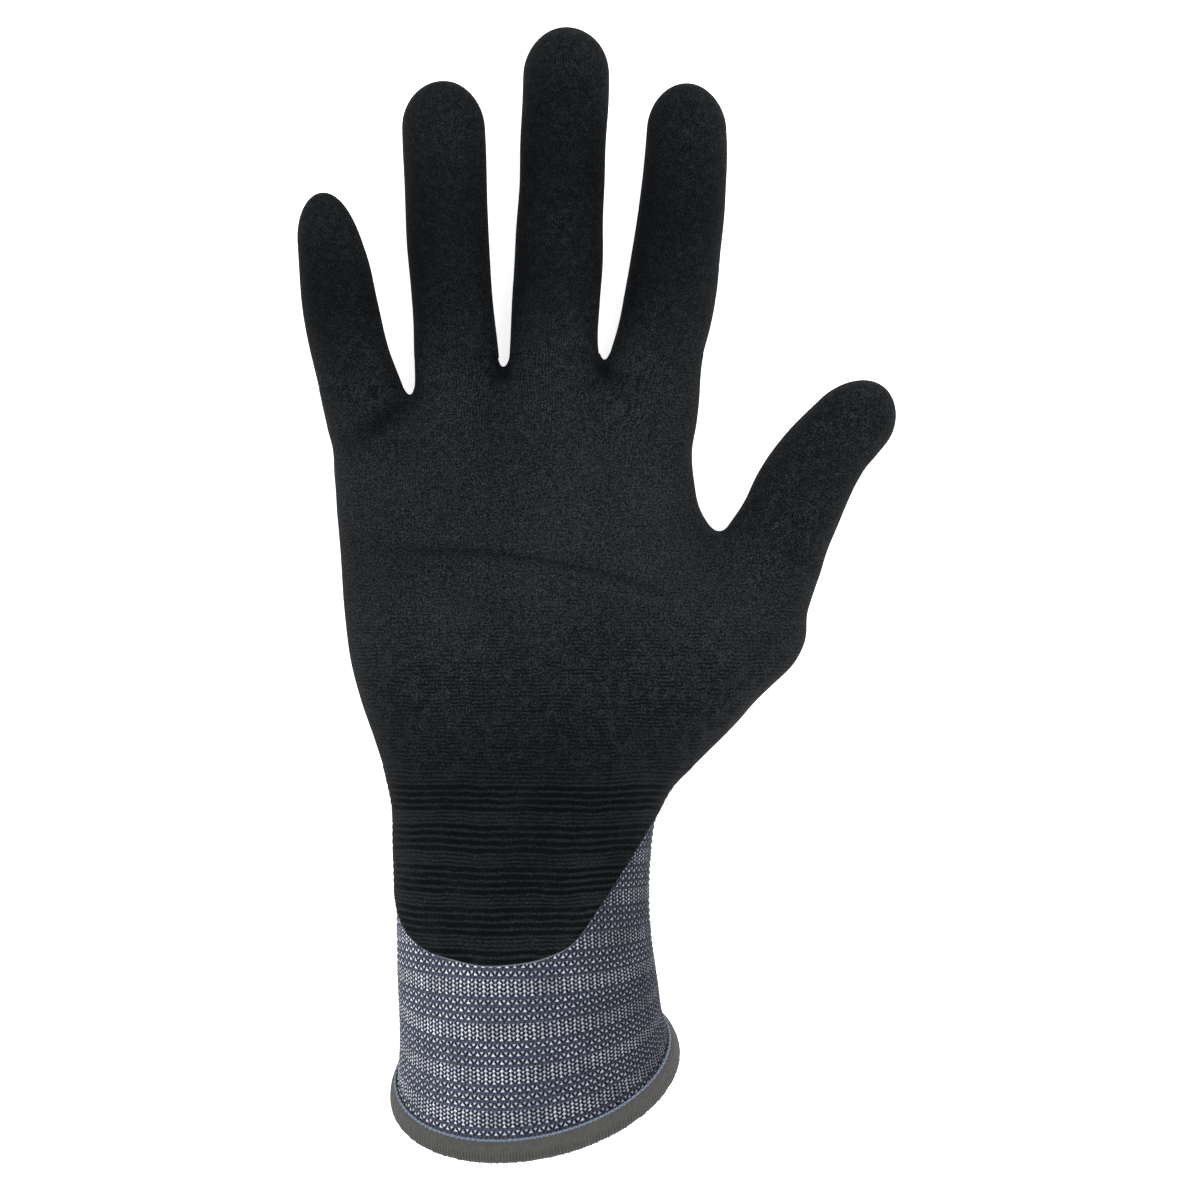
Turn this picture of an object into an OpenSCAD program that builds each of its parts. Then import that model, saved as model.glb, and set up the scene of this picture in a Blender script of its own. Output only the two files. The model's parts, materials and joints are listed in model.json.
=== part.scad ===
// Right-hand knit work glove with a dipped palm, lying on its back.
// X to the thumb side, Y to the fingertips, Z out of the palm. Millimetres.
// The liner and the dip are split at the knuckles so that the glove can flex.

/* [Fabric] */
// Thickness of the knitted liner
liner_t = 1.4; // [0.8:0.1:2.5]
// Thickness of the dipped coating
coat_t = 0.8; // [0.4:0.1:1.5]
// Thickness of the ribbed cuff
cuff_t = 1.6; // [1:0.1:3]

/* [Fingers] */
// Free length of the little finger stall
little_len = 49; // [44:0.5:56]
// Free length of the ring finger stall
ring_len = 66.5; // [60:0.5:74]
// Free length of the middle finger stall
middle_len = 78.4; // [72:0.5:86]
// Free length of the index finger stall
index_len = 66; // [60:0.5:74]
// Free length of the thumb stall
thumb_len = 47; // [44:0.5:54]
// How deep a stall is for its width
stall_depth = 0.9; // [0.75:0.01:1]

/* [Cuff] */
// How much lower the palm side of the hem hangs than its sides
hem_drop = 15; // [0:0.5:20]
// Height of the overlocked hem
hem_h = 4.8; // [3:0.1:8]
// Turns of elastic yarn laid inside the cuff
elastic_turns = 3; // [2:1:6]
// Thickness of the elastic yarn
elastic_d = 0.7; // [0.4:0.1:1]

/* [Output] */
// The node to draw

/* [Hidden] */
gap = 0.05;
split = 0.15;
sides = 24;
cuff_sides = 36;
step_a = 360 / sides;
cuff_step = 360 / cuff_sides;
// The dip wraps past the edges of the hand, from wrap_a to wrap_b degrees.
wrap_a = -30;
wrap_b = 210;
coat_floor = 8.6;
slice = 0.6;
palm_end = -41;
band_end = -71;
hem_y = -111.4;
// Moves the drawn glove so that its box is centred on the origin.
shift = [0.264, -2.378, 0];

// Columns of a stall row.
X0 = 0;
Y0 = 1;
Z0 = 2;
LEAN = 3;
SWAY = 4;
RISE = 5;
LEN = 6;
W_ROOT = 7;
W_TIP = 8;
little = [-54.6, 47, 15, -13, 2.4, 4, little_len, 21, 15.2];
ring = [-33.6, 54.4, 14.5, -2, 0, 6, ring_len, 20.3, 19.2];
middle = [-10.4, 55.2, 14.5, 2.6, 0, 7, middle_len, 22.2, 19.4];
index = [13.5, 55.4, 14.5, 13, -7.4, 6, index_len, 23, 18.4];
thumb = [39.7, 10.1, 21, 32, 0.8, 4, thumb_len, 24.6, 18.6];

// Knuckle bands of a stall, [start, end] along it.
little_bands = [[1, 11], [13.5, 25.5], [30.5, 38]];
ring_bands = [[1.5, 13], [18.2, 31.2], [42, 50]];
middle_bands = [[2, 14], [22, 36], [50, 58.5]];
index_bands = [[1.5, 13.5], [18, 31.5], [42, 50]];
thumb_bands = [[0.5, 11], [16, 29]];

// Palm sections: Y, left edge, right edge, half depth, centre Z.
// The middle ones dip below the resting face, which then cuts them flat.
palm_rows = [
    [44, -64.3, 23.8, 11.6, 13.8],
    [30, -62.3, 24.4, 15.6, 14],
    [8, -60.2, 28, 18, 16.4],
    [-12, -58.2, 30, 19.4, 17.8],
    [-30, -53.8, 26, 20.4, 18.9],
    [palm_end, -50.4, 21.8, 20.6, 19.8]
];

// The webs between the ring, middle and index stalls, in the same columns.
web_rows = [[52.2, -42.1, 20.7, 7.1, 14.5], [36, -42.1, 20.7, 10.4, 13.9]];

// Wrist and cuff sections against Y: centre X, half width, centre Z, half depth, drop, skew.
wrist_x = [[hem_y, -14.4], [-100, -15.2], [-86, -16.5], [band_end, -17.4], [-57.5, -17.5], [-48, -16.5], [palm_end, -14.3]];
wrist_w = [[hem_y, 33.6], [-100, 31.4], [-86, 30.6], [band_end, 30.2], [-57.5, 30.5], [-48, 32.1], [palm_end, 36.1]];
wrist_z = [[hem_y, 24.9], [-86, 24.4], [band_end, 24.2], [-57.5, 23.6], [-48, 21.4], [palm_end, 19.8]];
wrist_d = [[hem_y, 24.4], [-86, 22.2], [band_end, 21.6], [-57.5, 21.4], [-48, 20.9], [palm_end, 20.6]];
wrist_drop = [[hem_y, hem_drop], [-100, hem_drop * 0.62], [-86, hem_drop * 0.22], [band_end, 0], [palm_end, 0]];
wrist_skew = [[hem_y, 5], [-95, 2.4], [band_end, 0], [palm_end, 0]];
// Lower edge of the dip round the wrist, Y against the angle.
dip_edge = [[-30, -46], [0, -50], [38, -66], [53, -75], [67, -81.5], [80, -84.5], [103, -85.8], [134, -83], [154, -78], [180, -71.5], [210, -65]];

// A point of a stall: s along it, a round it (90 is the palm side), inset inwards.
function cap_len(f) = f[W_TIP] * 0.52;
function cap_scale(f, s) = sqrt(max(0.012, 1 - pow(max(0, s - f[LEN] + cap_len(f)) / cap_len(f), 2)));
function stall_w(f, s) = (f[W_ROOT] + (f[W_TIP] - f[W_ROOT]) * s / f[LEN]) / 2;
function stall_x(f, s) = f[SWAY] * pow(max(0, s) / f[LEN], 2);
function stall_z(f, s) = f[Z0] + f[RISE] * pow(max(0, s) / f[LEN], 2);
function stall_point(f, s, a, inset, cap) =
    let (k = cap ? cap_scale(f, s) : 1)
    let (u = stall_x(f, s) + (stall_w(f, s) - inset) * k * cos(a))
    let (v = cap && s > f[LEN] - cap_len(f) ? s - inset * pow((s - f[LEN] + cap_len(f)) / cap_len(f), 2) : s)
    let (z = stall_z(f, s) + (stall_w(f, s) * stall_depth - inset) * k * sin(a))
    [f[X0] + u * cos(f[LEAN]) + v * sin(f[LEAN]), f[Y0] - u * sin(f[LEAN]) + v * cos(f[LEAN]), z];
function steps(s0, s1, pitch) =
    let (n = max(1, ceil((s1 - s0) / pitch)))
    [for (i = [0:n]) s0 + (s1 - s0) * i / n];
// Places along a closed tip, closer together towards its end.
function tip_steps(f, s0) =
    concat(steps(s0, f[LEN] - cap_len(f), 6),
           [for (b = [30, 53, 71, 85]) f[LEN] - cap_len(f) + cap_len(f) * sin(b)]);
function arc(a0, a1, step) = [for (a = [a0:step:a1]) a];
function stall_grid(f, rows, angles, inset, cap) =
    [for (s = rows) [for (a = angles) stall_point(f, s, a, inset, cap)]];

// A point of the wrist and cuff.
function wrist_point(y, a, inset) =
    [lookup(y, wrist_x) + (lookup(y, wrist_w) - inset) * cos(a),
     y - lookup(y, wrist_drop) * sin(a) + lookup(y, wrist_skew) * cos(a),
     lookup(y, wrist_z) + (lookup(y, wrist_d) - inset) * sin(a)];
function wrist_grid(rows, angles, inset) =
    [for (y = rows) [for (a = angles) wrist_point(y, a, inset)]];

// Triangles of one grid sheet; flip turns it over.
function quad(a, b, c, d, flip) = flip ? [[a, c, b], [a, d, c]] : [[a, b, c], [a, c, d]];
function lerp(a, b, t) = a + (b - a) * t;
function flat2(lists) = [for (l = lists) for (e = l) e];

// A sheet with thickness: the outer and inner grids joined along their rims.
// closed joins the last column to the first; capped closes the last row of each grid.
module sheet(outer, inner, closed, capped) {
    n = len(outer);
    m = len(outer[0]);
    k = n * m;
    cols = closed ? m - 1 : m - 2;
    outer_faces = flat2([for (i = [0:n - 2]) for (j = [0:cols])
        quad(i * m + j, i * m + (j + 1) % m, (i + 1) * m + (j + 1) % m, (i + 1) * m + j, false)]);
    inner_faces = flat2([for (i = [0:n - 2]) for (j = [0:cols])
        quad(k + i * m + j, k + i * m + (j + 1) % m, k + (i + 1) * m + (j + 1) % m, k + (i + 1) * m + j, true)]);
    first_rim = flat2([for (j = [0:cols]) quad(j, (j + 1) % m, k + (j + 1) % m, k + j, true)]);
    e = (n - 1) * m;
    last_rim = capped
        ? concat([for (j = [1:m - 2]) [e, e + j, e + j + 1]], [for (j = [1:m - 2]) [k + e, k + e + j + 1, k + e + j]])
        : flat2([for (j = [0:cols]) quad(e + j, e + (j + 1) % m, k + e + (j + 1) % m, k + e + j, false)]);
    side_rims = closed
        ? []
        : concat(flat2([for (i = [0:n - 2]) quad(i * m, (i + 1) * m, k + (i + 1) * m, k + i * m, false)]),
                 flat2([for (i = [0:n - 2]) quad(i * m + m - 1, (i + 1) * m + m - 1, k + (i + 1) * m + m - 1, k + i * m + m - 1, true)]));
    translate(shift)
        polyhedron(concat(flat2(outer), flat2(inner)), concat(outer_faces, inner_faces, first_rim, last_rim, side_rims));
}

// A closed ring swept through sections of the same number of points.
module hoop(sections) {
    n = len(sections);
    m = len(sections[0]);
    translate(shift)
        polyhedron(flat2(sections), flat2([for (i = [0:n - 1]) for (j = [0:m - 1])
            quad(i * m + j, i * m + (j + 1) % m, ((i + 1) % n) * m + (j + 1) % m, ((i + 1) % n) * m + j, false)]));
}

// An open strand swept through sections, closed at both ends.
module rope(sections) {
    n = len(sections);
    m = len(sections[0]);
    e = (n - 1) * m;
    side_faces = flat2([for (i = [0:n - 2]) for (j = [0:m - 1])
        quad(i * m + j, i * m + (j + 1) % m, (i + 1) * m + (j + 1) % m, (i + 1) * m + j, false)]);
    ends = concat([for (j = [1:m - 2]) [0, j + 1, j]], [for (j = [1:m - 2]) [e, e + j, e + j + 1]]);
    translate(shift)
        polyhedron(flat2(sections), concat(side_faces, ends));
}

liner_out = coat_t + gap;
liner_in = liner_out + liner_t;
ring_a = arc(0, 360 - step_a, step_a);
dip_a = arc(wrap_a, wrap_b, step_a);
wrist_a = arc(0, 360 - cuff_step, cuff_step);

// The knit tube of a stall between two places along it.
module knit_tube(f, s0, s1) {
    rows = steps(s0 + split, s1 - split, 7);
    sheet(stall_grid(f, rows, ring_a, liner_out, false), stall_grid(f, rows, ring_a, liner_in, false), true, false);
}

// The dip over the palm side of a stall between two places along it.
module dip_sleeve(f, s0, s1) {
    rows = steps(s0 + split, s1 - split, 7);
    sheet(stall_grid(f, rows, dip_a, 0, false), stall_grid(f, rows, dip_a, coat_t, false), false, false);
}

// Knit and dip bonded together over a knuckle, where the stall folds.
module knuckle(f, band) {
    rows = steps(band[0] + split, band[1] - split, 5);
    sheet(stall_grid(f, rows, ring_a, 0, false), stall_grid(f, rows, ring_a, liner_in, false), true, false);
}

// The closed end of a stall, knit and dip.
module knit_tip(f, s0) {
    rows = tip_steps(f, s0 + split);
    sheet(stall_grid(f, rows, ring_a, liner_out, true), stall_grid(f, rows, ring_a, liner_in, true), true, true);
}
module dip_tip(f, s0) {
    rows = tip_steps(f, s0 + split);
    sheet(stall_grid(f, rows, ring_a, 0, true), stall_grid(f, rows, ring_a, coat_t, true), true, true);
}

// One thin slice of the palm, inset inwards.
module palm_slice(row, inset) {
    translate([(row[1] + row[2]) / 2, row[0], row[4]])
        rotate([90, 0, 0])
            linear_extrude(slice)
                scale([(row[2] - row[1]) / 2 - inset, row[3] - inset])
                    circle(r = 1, $fn = cuff_sides);
}

// One thin slice of a stall, inset inwards.
module stall_slice(f, s, inset) {
    c = stall_point(f, s, 0, stall_w(f, s), false);
    translate([c[0], c[1], c[2]])
        rotate([90, 0, -f[LEAN]])
            linear_extrude(slice)
                scale([stall_w(f, s) - inset, stall_w(f, s) * stall_depth - inset])
                    circle(r = 1, $fn = sides);
}

// One thin slice of the muscle at the base of the thumb: centre, turn, half width, half depth.
module mound_slice(centre, turn, w, d, inset) {
    translate(centre)
        rotate([90, 0, -turn])
            linear_extrude(slice)
                scale([w - inset, d - inset])
                    circle(r = 1, $fn = sides);
}

// The whole palm as a solid, inset inwards; extra lengthens its open ends.
module palm_mass(inset, extra) {
    for (i = [0:len(palm_rows) - 2])
        hull() {
            palm_slice(palm_rows[i], inset);
            palm_slice(palm_rows[i + 1], inset);
        }
    hull() {
        palm_slice(web_rows[0], inset);
        palm_slice(web_rows[1], inset);
    }
    hull() {
        palm_slice(palm_rows[5], inset);
        translate([0, -extra, 0])
            palm_slice(palm_rows[5], inset);
    }
    stall_root(little, little_bands[0][0] + extra, inset);
    stall_root(ring, ring_bands[0][0] + extra, inset);
    stall_root(middle, middle_bands[0][0] + extra, inset);
    stall_root(index, index_bands[0][0] + extra, inset);
    hull() {
        stall_slice(thumb, thumb_bands[0][0] + extra, inset);
        mound_slice([23.23, -11, 19.5], 26, 21.5, 16.5, inset);
    }
    hull() {
        mound_slice([23.23, -11, 19.5], 26, 21.5, 16.5, inset);
        mound_slice([8, -32, 19.8], 42, 14, 16.5, inset);
    }
}

// The start of a stall, grown out of the palm.
module stall_root(f, s, inset) {
    hull() {
        stall_slice(f, s, inset);
        stall_slice(f, -18, inset);
    }
}

// Everything beyond the lower end of the palm.
module below_palm() {
    translate([-100, palm_end - 60 + split, -50])
        cube([200, 60, 150]);
}

module palm_liner()
    color("SlateGray")
        translate(shift)
            difference() {
                palm_mass(liner_out, 0);
                palm_mass(liner_in, 1);
                below_palm();
                translate([-100, -100, -20])
                    cube([200, 200, 20]);
            }

module palm_dip()
    color("DimGray")
        translate(shift)
            difference() {
                palm_mass(0, 0);
                palm_mass(coat_t, 1);
                below_palm();
                translate([-100, -100, coat_floor - 50])
                    cube([200, 200, 50]);
            }

band_rows = 5;
cuff_rows = 6;
top_y = palm_end - split;
fold_y = band_end + split;
cuff_y = band_end - split;
// The edge of the dip at an angle, held inside the wrist band or below it.
function band_edge(a) = max(lookup(a, dip_edge), fold_y);
function between(a, b, n) = [for (i = [0:n]) a + (b - a) * i / n];
// The dip from one row down to its own lower edge.
function dip_grid(y0, n, angles, inset, in_band) =
    [for (i = [0:n]) [for (a = angles)
        wrist_point(y0 + ((in_band ? band_edge(a) : lookup(a, dip_edge)) - y0) * i / n, a, inset)]];

// The knit round the wrist, where the cuff folds against the palm.
module wrist_liner() {
    rows = between(top_y, fold_y, band_rows);
    color("SlateGray")
        sheet(wrist_grid(rows, wrist_a, liner_out), wrist_grid(rows, wrist_a, liner_in), true, false);
}

// The dip over the front and sides of the wrist.
module wrist_dip() {
    angles = arc(wrap_a, wrap_b, cuff_step);
    color("DimGray")
        sheet(dip_grid(top_y, band_rows, angles, 0, true), dip_grid(top_y, band_rows, angles, coat_t - 0.3, true), false, false);
}

// The ribbed knit cuff.
module cuff_liner() {
    rows = between(cuff_y, hem_y, cuff_rows);
    color("LightSlateGray")
        sheet(wrist_grid(rows, wrist_a, liner_out), wrist_grid(rows, wrist_a, liner_out + cuff_t), true, false);
}

// The curved lower end of the dip, on the palm side of the cuff.
module cuff_dip() {
    angles = arc(50, 170, cuff_step);
    color("DimGray")
        sheet(dip_grid(cuff_y, 3, angles, 0, false), dip_grid(cuff_y, 3, angles, coat_t, false), false, false);
}

// Elastic yarn wound round the inside of the cuff in one length.
module elastic_yarn() {
    n = elastic_turns * cuff_sides;
    r = elastic_d / 2;
    depth = liner_out + cuff_t + gap + r;
    turns = [for (i = [0:n]) [lerp(cuff_y - 4, hem_y + 3, i / n), i * cuff_step]];
    strand = [for (p = turns) [
        wrist_point(p[0] + r, p[1], depth),
        wrist_point(p[0], p[1], depth - r),
        wrist_point(p[0] - r, p[1], depth),
        wrist_point(p[0], p[1], depth + r)
    ]];
    color("WhiteSmoke")
        rope(strand);
}

// The overlocked hem, folded over the end of the cuff.
module hem_overlock() {
    t = 0.9;
    out = liner_out - gap;
    in = liner_out + cuff_t + gap;
    end = hem_y - gap;
    profile = [
        [hem_y + 3.2, out - t], [hem_y + 3.2, out], [end, out], [end, in],
        [hem_y + 2, in], [hem_y + 2, in + t], [end - 1.2, in + t], [hem_y + 3.2 - hem_h, (out + in) / 2], [end - 0.8, out - t]
    ];
    color("Gray")
        hoop([for (a = wrist_a) [for (p = profile) wrist_point(p[0], a, p[1])]]);
}

// The looper thread that edges the overlock.
module hem_thread() {
    r = 0.35;
    y = hem_y + 3.2 + gap + r;
    depth = liner_out - gap - r;
    color("LightSteelBlue")
        hoop([for (a = wrist_a) [
            wrist_point(y + r, a, depth), wrist_point(y, a, depth + r),
            wrist_point(y - r, a, depth), wrist_point(y, a, depth - r)
        ]]);
}

// Little finger, from the palm to the tip.
module little_root_knuckle()
    color("DarkSlateGray")
        knuckle(little, little_bands[0]);
module little_base_liner()
    color("SlateGray")
        knit_tube(little, little_bands[0][1], little_bands[1][0]);
module little_base_dip()
    color("DimGray")
        dip_sleeve(little, little_bands[0][1], little_bands[1][0]);
module little_mid_knuckle()
    color("DarkSlateGray")
        knuckle(little, little_bands[1]);
module little_mid_liner()
    color("SlateGray")
        knit_tube(little, little_bands[1][1], little_bands[2][0]);
module little_mid_dip()
    color("DimGray")
        dip_sleeve(little, little_bands[1][1], little_bands[2][0]);
module little_end_knuckle()
    color("DarkSlateGray")
        knuckle(little, little_bands[2]);
module little_tip_liner()
    color("SlateGray")
        knit_tip(little, little_bands[2][1]);
module little_tip_dip()
    color("DimGray")
        dip_tip(little, little_bands[2][1]);

// Ring finger, from the palm to the tip.
module ring_root_knuckle()
    color("DarkSlateGray")
        knuckle(ring, ring_bands[0]);
module ring_base_liner()
    color("SlateGray")
        knit_tube(ring, ring_bands[0][1], ring_bands[1][0]);
module ring_base_dip()
    color("DimGray")
        dip_sleeve(ring, ring_bands[0][1], ring_bands[1][0]);
module ring_mid_knuckle()
    color("DarkSlateGray")
        knuckle(ring, ring_bands[1]);
module ring_mid_liner()
    color("SlateGray")
        knit_tube(ring, ring_bands[1][1], ring_bands[2][0]);
module ring_mid_dip()
    color("DimGray")
        dip_sleeve(ring, ring_bands[1][1], ring_bands[2][0]);
module ring_end_knuckle()
    color("DarkSlateGray")
        knuckle(ring, ring_bands[2]);
module ring_tip_liner()
    color("SlateGray")
        knit_tip(ring, ring_bands[2][1]);
module ring_tip_dip()
    color("DimGray")
        dip_tip(ring, ring_bands[2][1]);

// Middle finger, from the palm to the tip.
module middle_root_knuckle()
    color("DarkSlateGray")
        knuckle(middle, middle_bands[0]);
module middle_base_liner()
    color("SlateGray")
        knit_tube(middle, middle_bands[0][1], middle_bands[1][0]);
module middle_base_dip()
    color("DimGray")
        dip_sleeve(middle, middle_bands[0][1], middle_bands[1][0]);
module middle_mid_knuckle()
    color("DarkSlateGray")
        knuckle(middle, middle_bands[1]);
module middle_mid_liner()
    color("SlateGray")
        knit_tube(middle, middle_bands[1][1], middle_bands[2][0]);
module middle_mid_dip()
    color("DimGray")
        dip_sleeve(middle, middle_bands[1][1], middle_bands[2][0]);
module middle_end_knuckle()
    color("DarkSlateGray")
        knuckle(middle, middle_bands[2]);
module middle_tip_liner()
    color("SlateGray")
        knit_tip(middle, middle_bands[2][1]);
module middle_tip_dip()
    color("DimGray")
        dip_tip(middle, middle_bands[2][1]);

// Index finger, from the palm to the tip.
module index_root_knuckle()
    color("DarkSlateGray")
        knuckle(index, index_bands[0]);
module index_base_liner()
    color("SlateGray")
        knit_tube(index, index_bands[0][1], index_bands[1][0]);
module index_base_dip()
    color("DimGray")
        dip_sleeve(index, index_bands[0][1], index_bands[1][0]);
module index_mid_knuckle()
    color("DarkSlateGray")
        knuckle(index, index_bands[1]);
module index_mid_liner()
    color("SlateGray")
        knit_tube(index, index_bands[1][1], index_bands[2][0]);
module index_mid_dip()
    color("DimGray")
        dip_sleeve(index, index_bands[1][1], index_bands[2][0]);
module index_end_knuckle()
    color("DarkSlateGray")
        knuckle(index, index_bands[2]);
module index_tip_liner()
    color("SlateGray")
        knit_tip(index, index_bands[2][1]);
module index_tip_dip()
    color("DimGray")
        dip_tip(index, index_bands[2][1]);

// Thumb, from the palm to the tip.
module thumb_root_knuckle()
    color("DarkSlateGray")
        knuckle(thumb, thumb_bands[0]);
module thumb_base_liner()
    color("SlateGray")
        knit_tube(thumb, thumb_bands[0][1], thumb_bands[1][0]);
module thumb_base_dip()
    color("DimGray")
        dip_sleeve(thumb, thumb_bands[0][1], thumb_bands[1][0]);
module thumb_end_knuckle()
    color("DarkSlateGray")
        knuckle(thumb, thumb_bands[1]);
module thumb_tip_liner()
    color("SlateGray")
        knit_tip(thumb, thumb_bands[1][1]);
module thumb_tip_dip()
    color("DimGray")
        dip_tip(thumb, thumb_bands[1][1]);

palm_liner();
palm_dip();
wrist_liner();
wrist_dip();
cuff_liner();
cuff_dip();
elastic_yarn();
hem_overlock();
hem_thread();
little_root_knuckle();
little_base_liner();
little_base_dip();
little_mid_knuckle();
little_mid_liner();
little_mid_dip();
little_end_knuckle();
little_tip_liner();
little_tip_dip();
ring_root_knuckle();
ring_base_liner();
ring_base_dip();
ring_mid_knuckle();
ring_mid_liner();
ring_mid_dip();
ring_end_knuckle();
ring_tip_liner();
ring_tip_dip();
middle_root_knuckle();
middle_base_liner();
middle_base_dip();
middle_mid_knuckle();
middle_mid_liner();
middle_mid_dip();
middle_end_knuckle();
middle_tip_liner();
middle_tip_dip();
index_root_knuckle();
index_base_liner();
index_base_dip();
index_mid_knuckle();
index_mid_liner();
index_mid_dip();
index_end_knuckle();
index_tip_liner();
index_tip_dip();
thumb_root_knuckle();
thumb_base_liner();
thumb_base_dip();
thumb_end_knuckle();
thumb_tip_liner();
thumb_tip_dip();
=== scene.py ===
import json
import math

import bpy
import numpy as np
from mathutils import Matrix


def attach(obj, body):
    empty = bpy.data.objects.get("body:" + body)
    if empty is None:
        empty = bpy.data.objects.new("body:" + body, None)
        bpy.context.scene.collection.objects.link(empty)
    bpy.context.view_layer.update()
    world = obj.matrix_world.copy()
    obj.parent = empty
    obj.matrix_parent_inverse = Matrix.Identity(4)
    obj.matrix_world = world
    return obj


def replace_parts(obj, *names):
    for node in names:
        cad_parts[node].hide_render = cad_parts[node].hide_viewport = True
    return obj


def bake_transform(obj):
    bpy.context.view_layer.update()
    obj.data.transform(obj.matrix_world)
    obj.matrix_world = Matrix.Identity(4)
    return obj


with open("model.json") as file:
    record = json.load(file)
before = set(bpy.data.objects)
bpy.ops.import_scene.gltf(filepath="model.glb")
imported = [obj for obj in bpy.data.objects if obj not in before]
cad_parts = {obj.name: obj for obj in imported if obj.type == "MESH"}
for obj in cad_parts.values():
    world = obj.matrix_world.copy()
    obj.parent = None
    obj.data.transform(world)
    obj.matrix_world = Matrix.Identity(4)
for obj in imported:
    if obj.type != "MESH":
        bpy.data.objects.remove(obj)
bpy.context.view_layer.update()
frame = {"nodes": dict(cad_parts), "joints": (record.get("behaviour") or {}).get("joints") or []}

import openvdb
from mathutils import Vector

# Shapes are worked out in millimetres, in the CAD source's own drawing frame, whose origin
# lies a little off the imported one. The wrist joint's place gives the shift between them.
WRIST_JOINT = np.array([-17.4, -56.0, 23.0])
joints = {j["name"]: j for j in frame["joints"]}
SHIFT = np.array(joints["wrist_bend"]["pos_m"]) * 1000 - WRIST_JOINT
MM = 0.001
TURN = 6.2832
rng = np.random.default_rng(7)


def to_row(p):
    return (np.asarray(p, float) + SHIFT) * MM


# ---------------------------------------------------------------- camera and light
VIEW_WIDTH = 282.0
DISTANCE = 700.0
AIM = np.array([0.59, -1.06, 22.0])
SENSOR = 36.0
camera = bpy.data.cameras.new("camera")
camera.sensor_width = SENSOR
camera.lens = SENSOR * DISTANCE / VIEW_WIDTH
camera.clip_start = 0.01
camera_object = bpy.data.objects.new("camera", camera)
bpy.context.scene.collection.objects.link(camera_object)
camera_object.location = to_row(AIM + [0, 0, DISTANCE])
bpy.context.scene.camera = camera_object


def area_light(name, place, size, power, aim=(0, 0, 0.02)):
    data = bpy.data.lights.new(name, "AREA")
    data.size = size
    data.energy = power
    o = bpy.data.objects.new(name, data)
    bpy.context.scene.collection.objects.link(o)
    o.location = place
    o.rotation_euler = (Vector(aim) - Vector(place)).to_track_quat("-Z", "Y").to_euler()


area_light("key", (0.4, 0.35, 1.0), 0.6, 9.0)
area_light("fill", (-0.8, 0.2, 0.7), 0.8, 3.5)
area_light("low", (-0.2, -0.8, 0.7), 0.7, 4.0)
world = bpy.data.worlds.new("world")
bpy.context.scene.world = world
world.use_nodes = True
world.node_tree.nodes["Background"].inputs[0].default_value = (1, 1, 1, 1)
world.node_tree.nodes["Background"].inputs[1].default_value = 0.95
bpy.context.scene.view_settings.view_transform = "Standard"


# ---------------------------------------------------------------- curves
def curve(points):
    """A smooth curve through (x, y) points, level beyond its ends."""
    xs = np.array([p[0] for p in points], float)
    ys = np.array([p[1] for p in points], float)
    order = np.argsort(xs)
    xs, ys = xs[order], ys[order]
    slope = np.gradient(ys, xs)

    def at(x):
        x = np.clip(np.asarray(x, float), xs[0], xs[-1])
        i = np.clip(np.searchsorted(xs, x) - 1, 0, len(xs) - 2)
        h = xs[i + 1] - xs[i]
        t = (x - xs[i]) / h
        a = 2 * t**3 - 3 * t**2 + 1
        b = t**3 - 2 * t**2 + t
        c = -2 * t**3 + 3 * t**2
        d = t**3 - t**2
        return a * ys[i] + b * h * slope[i] + c * ys[i + 1] + d * h * slope[i + 1]

    return at


def ease(t):
    t = np.clip(t, 0, 1)
    return t * t * (3 - 2 * t)


# The dip's and the liner's thickness, how deep a finger is for its width, and how far the dip's
# skin sinks into the liner at its edge and on its inside.
COAT = 0.55
LINER = 1.3
DEPTH = 0.9
EDGE_SINK = 0.08
SKIN_SINK = 0.1
# The dip thickens to its full coat over this width from its edge.
EDGE_WIDTH = 0.9

# Each stall: (Y, centre X, half width) rows, its tip, the length of its rounded end, its centre Z
# at the root, how much it rises to the tip, the Y that it rises from, and where its liner is
# split: at the palm and in front of each knuckle but the first.
STALLS = {
    "little": dict(
        rows=[(28, -50.7, 10.8), (40, -53.6, 10.6), (50.6, -56.5, 10.0), (60, -59.1, 9.3),
              (69.4, -61.1, 8.95), (78.8, -62.5, 8.3), (86, -63.8, 7.4), (96, -64.8, 6.8)],
        tip=95.2, cap=11.5, z=15.0, rise=4.0, y0=47.0, splits=(49.0, 58.9, 74.3)),
    "ring": dict(
        rows=[(28, -31.6, 10.4), (45, -32.9, 10.2), (55.3, -33.5, 10.0), (64.7, -34.0, 9.65),
              (74, -34.7, 9.65), (83.5, -35.5, 9.75), (102.3, -36.1, 9.85), (111.7, -36.3, 9.75),
              (122, -36.2, 9.6)],
        tip=121.2, cap=10.8, z=14.5, rise=6.0, y0=54.4, splits=(56.5, 70.0, 91.0)),
    "middle": dict(
        rows=[(28, -11.5, 11.0), (45, -10.9, 11.0), (55.3, -10.2, 10.8), (60, -10.3, 10.45),
              (69.4, -9.9, 10.45), (78.8, -9.3, 10.6), (92.9, -8.7, 10.25), (107, -8.1, 10.1),
              (121, -7.4, 10.1), (134, -7.2, 9.9)],
        tip=133.6, cap=11.0, z=14.5, rise=7.0, y0=55.2, splits=(57.2, 73.2, 98.2)),
    "index": dict(
        rows=[(28, 9.4, 12.1), (45, 12.0, 12.1), (55.3, 13.6, 11.3), (64.7, 16.0, 11.0),
              (74.1, 17.8, 10.9), (83.5, 18.9, 10.55), (92.9, 20.0, 10.2), (102.3, 20.8, 9.85),
              (111.7, 21.1, 9.3), (121, 21.0, 9.0)],
        tip=120.6, cap=10.4, z=14.5, rise=6.0, y0=55.4, splits=(57.4, 70.7, 91.2)),
}
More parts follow.
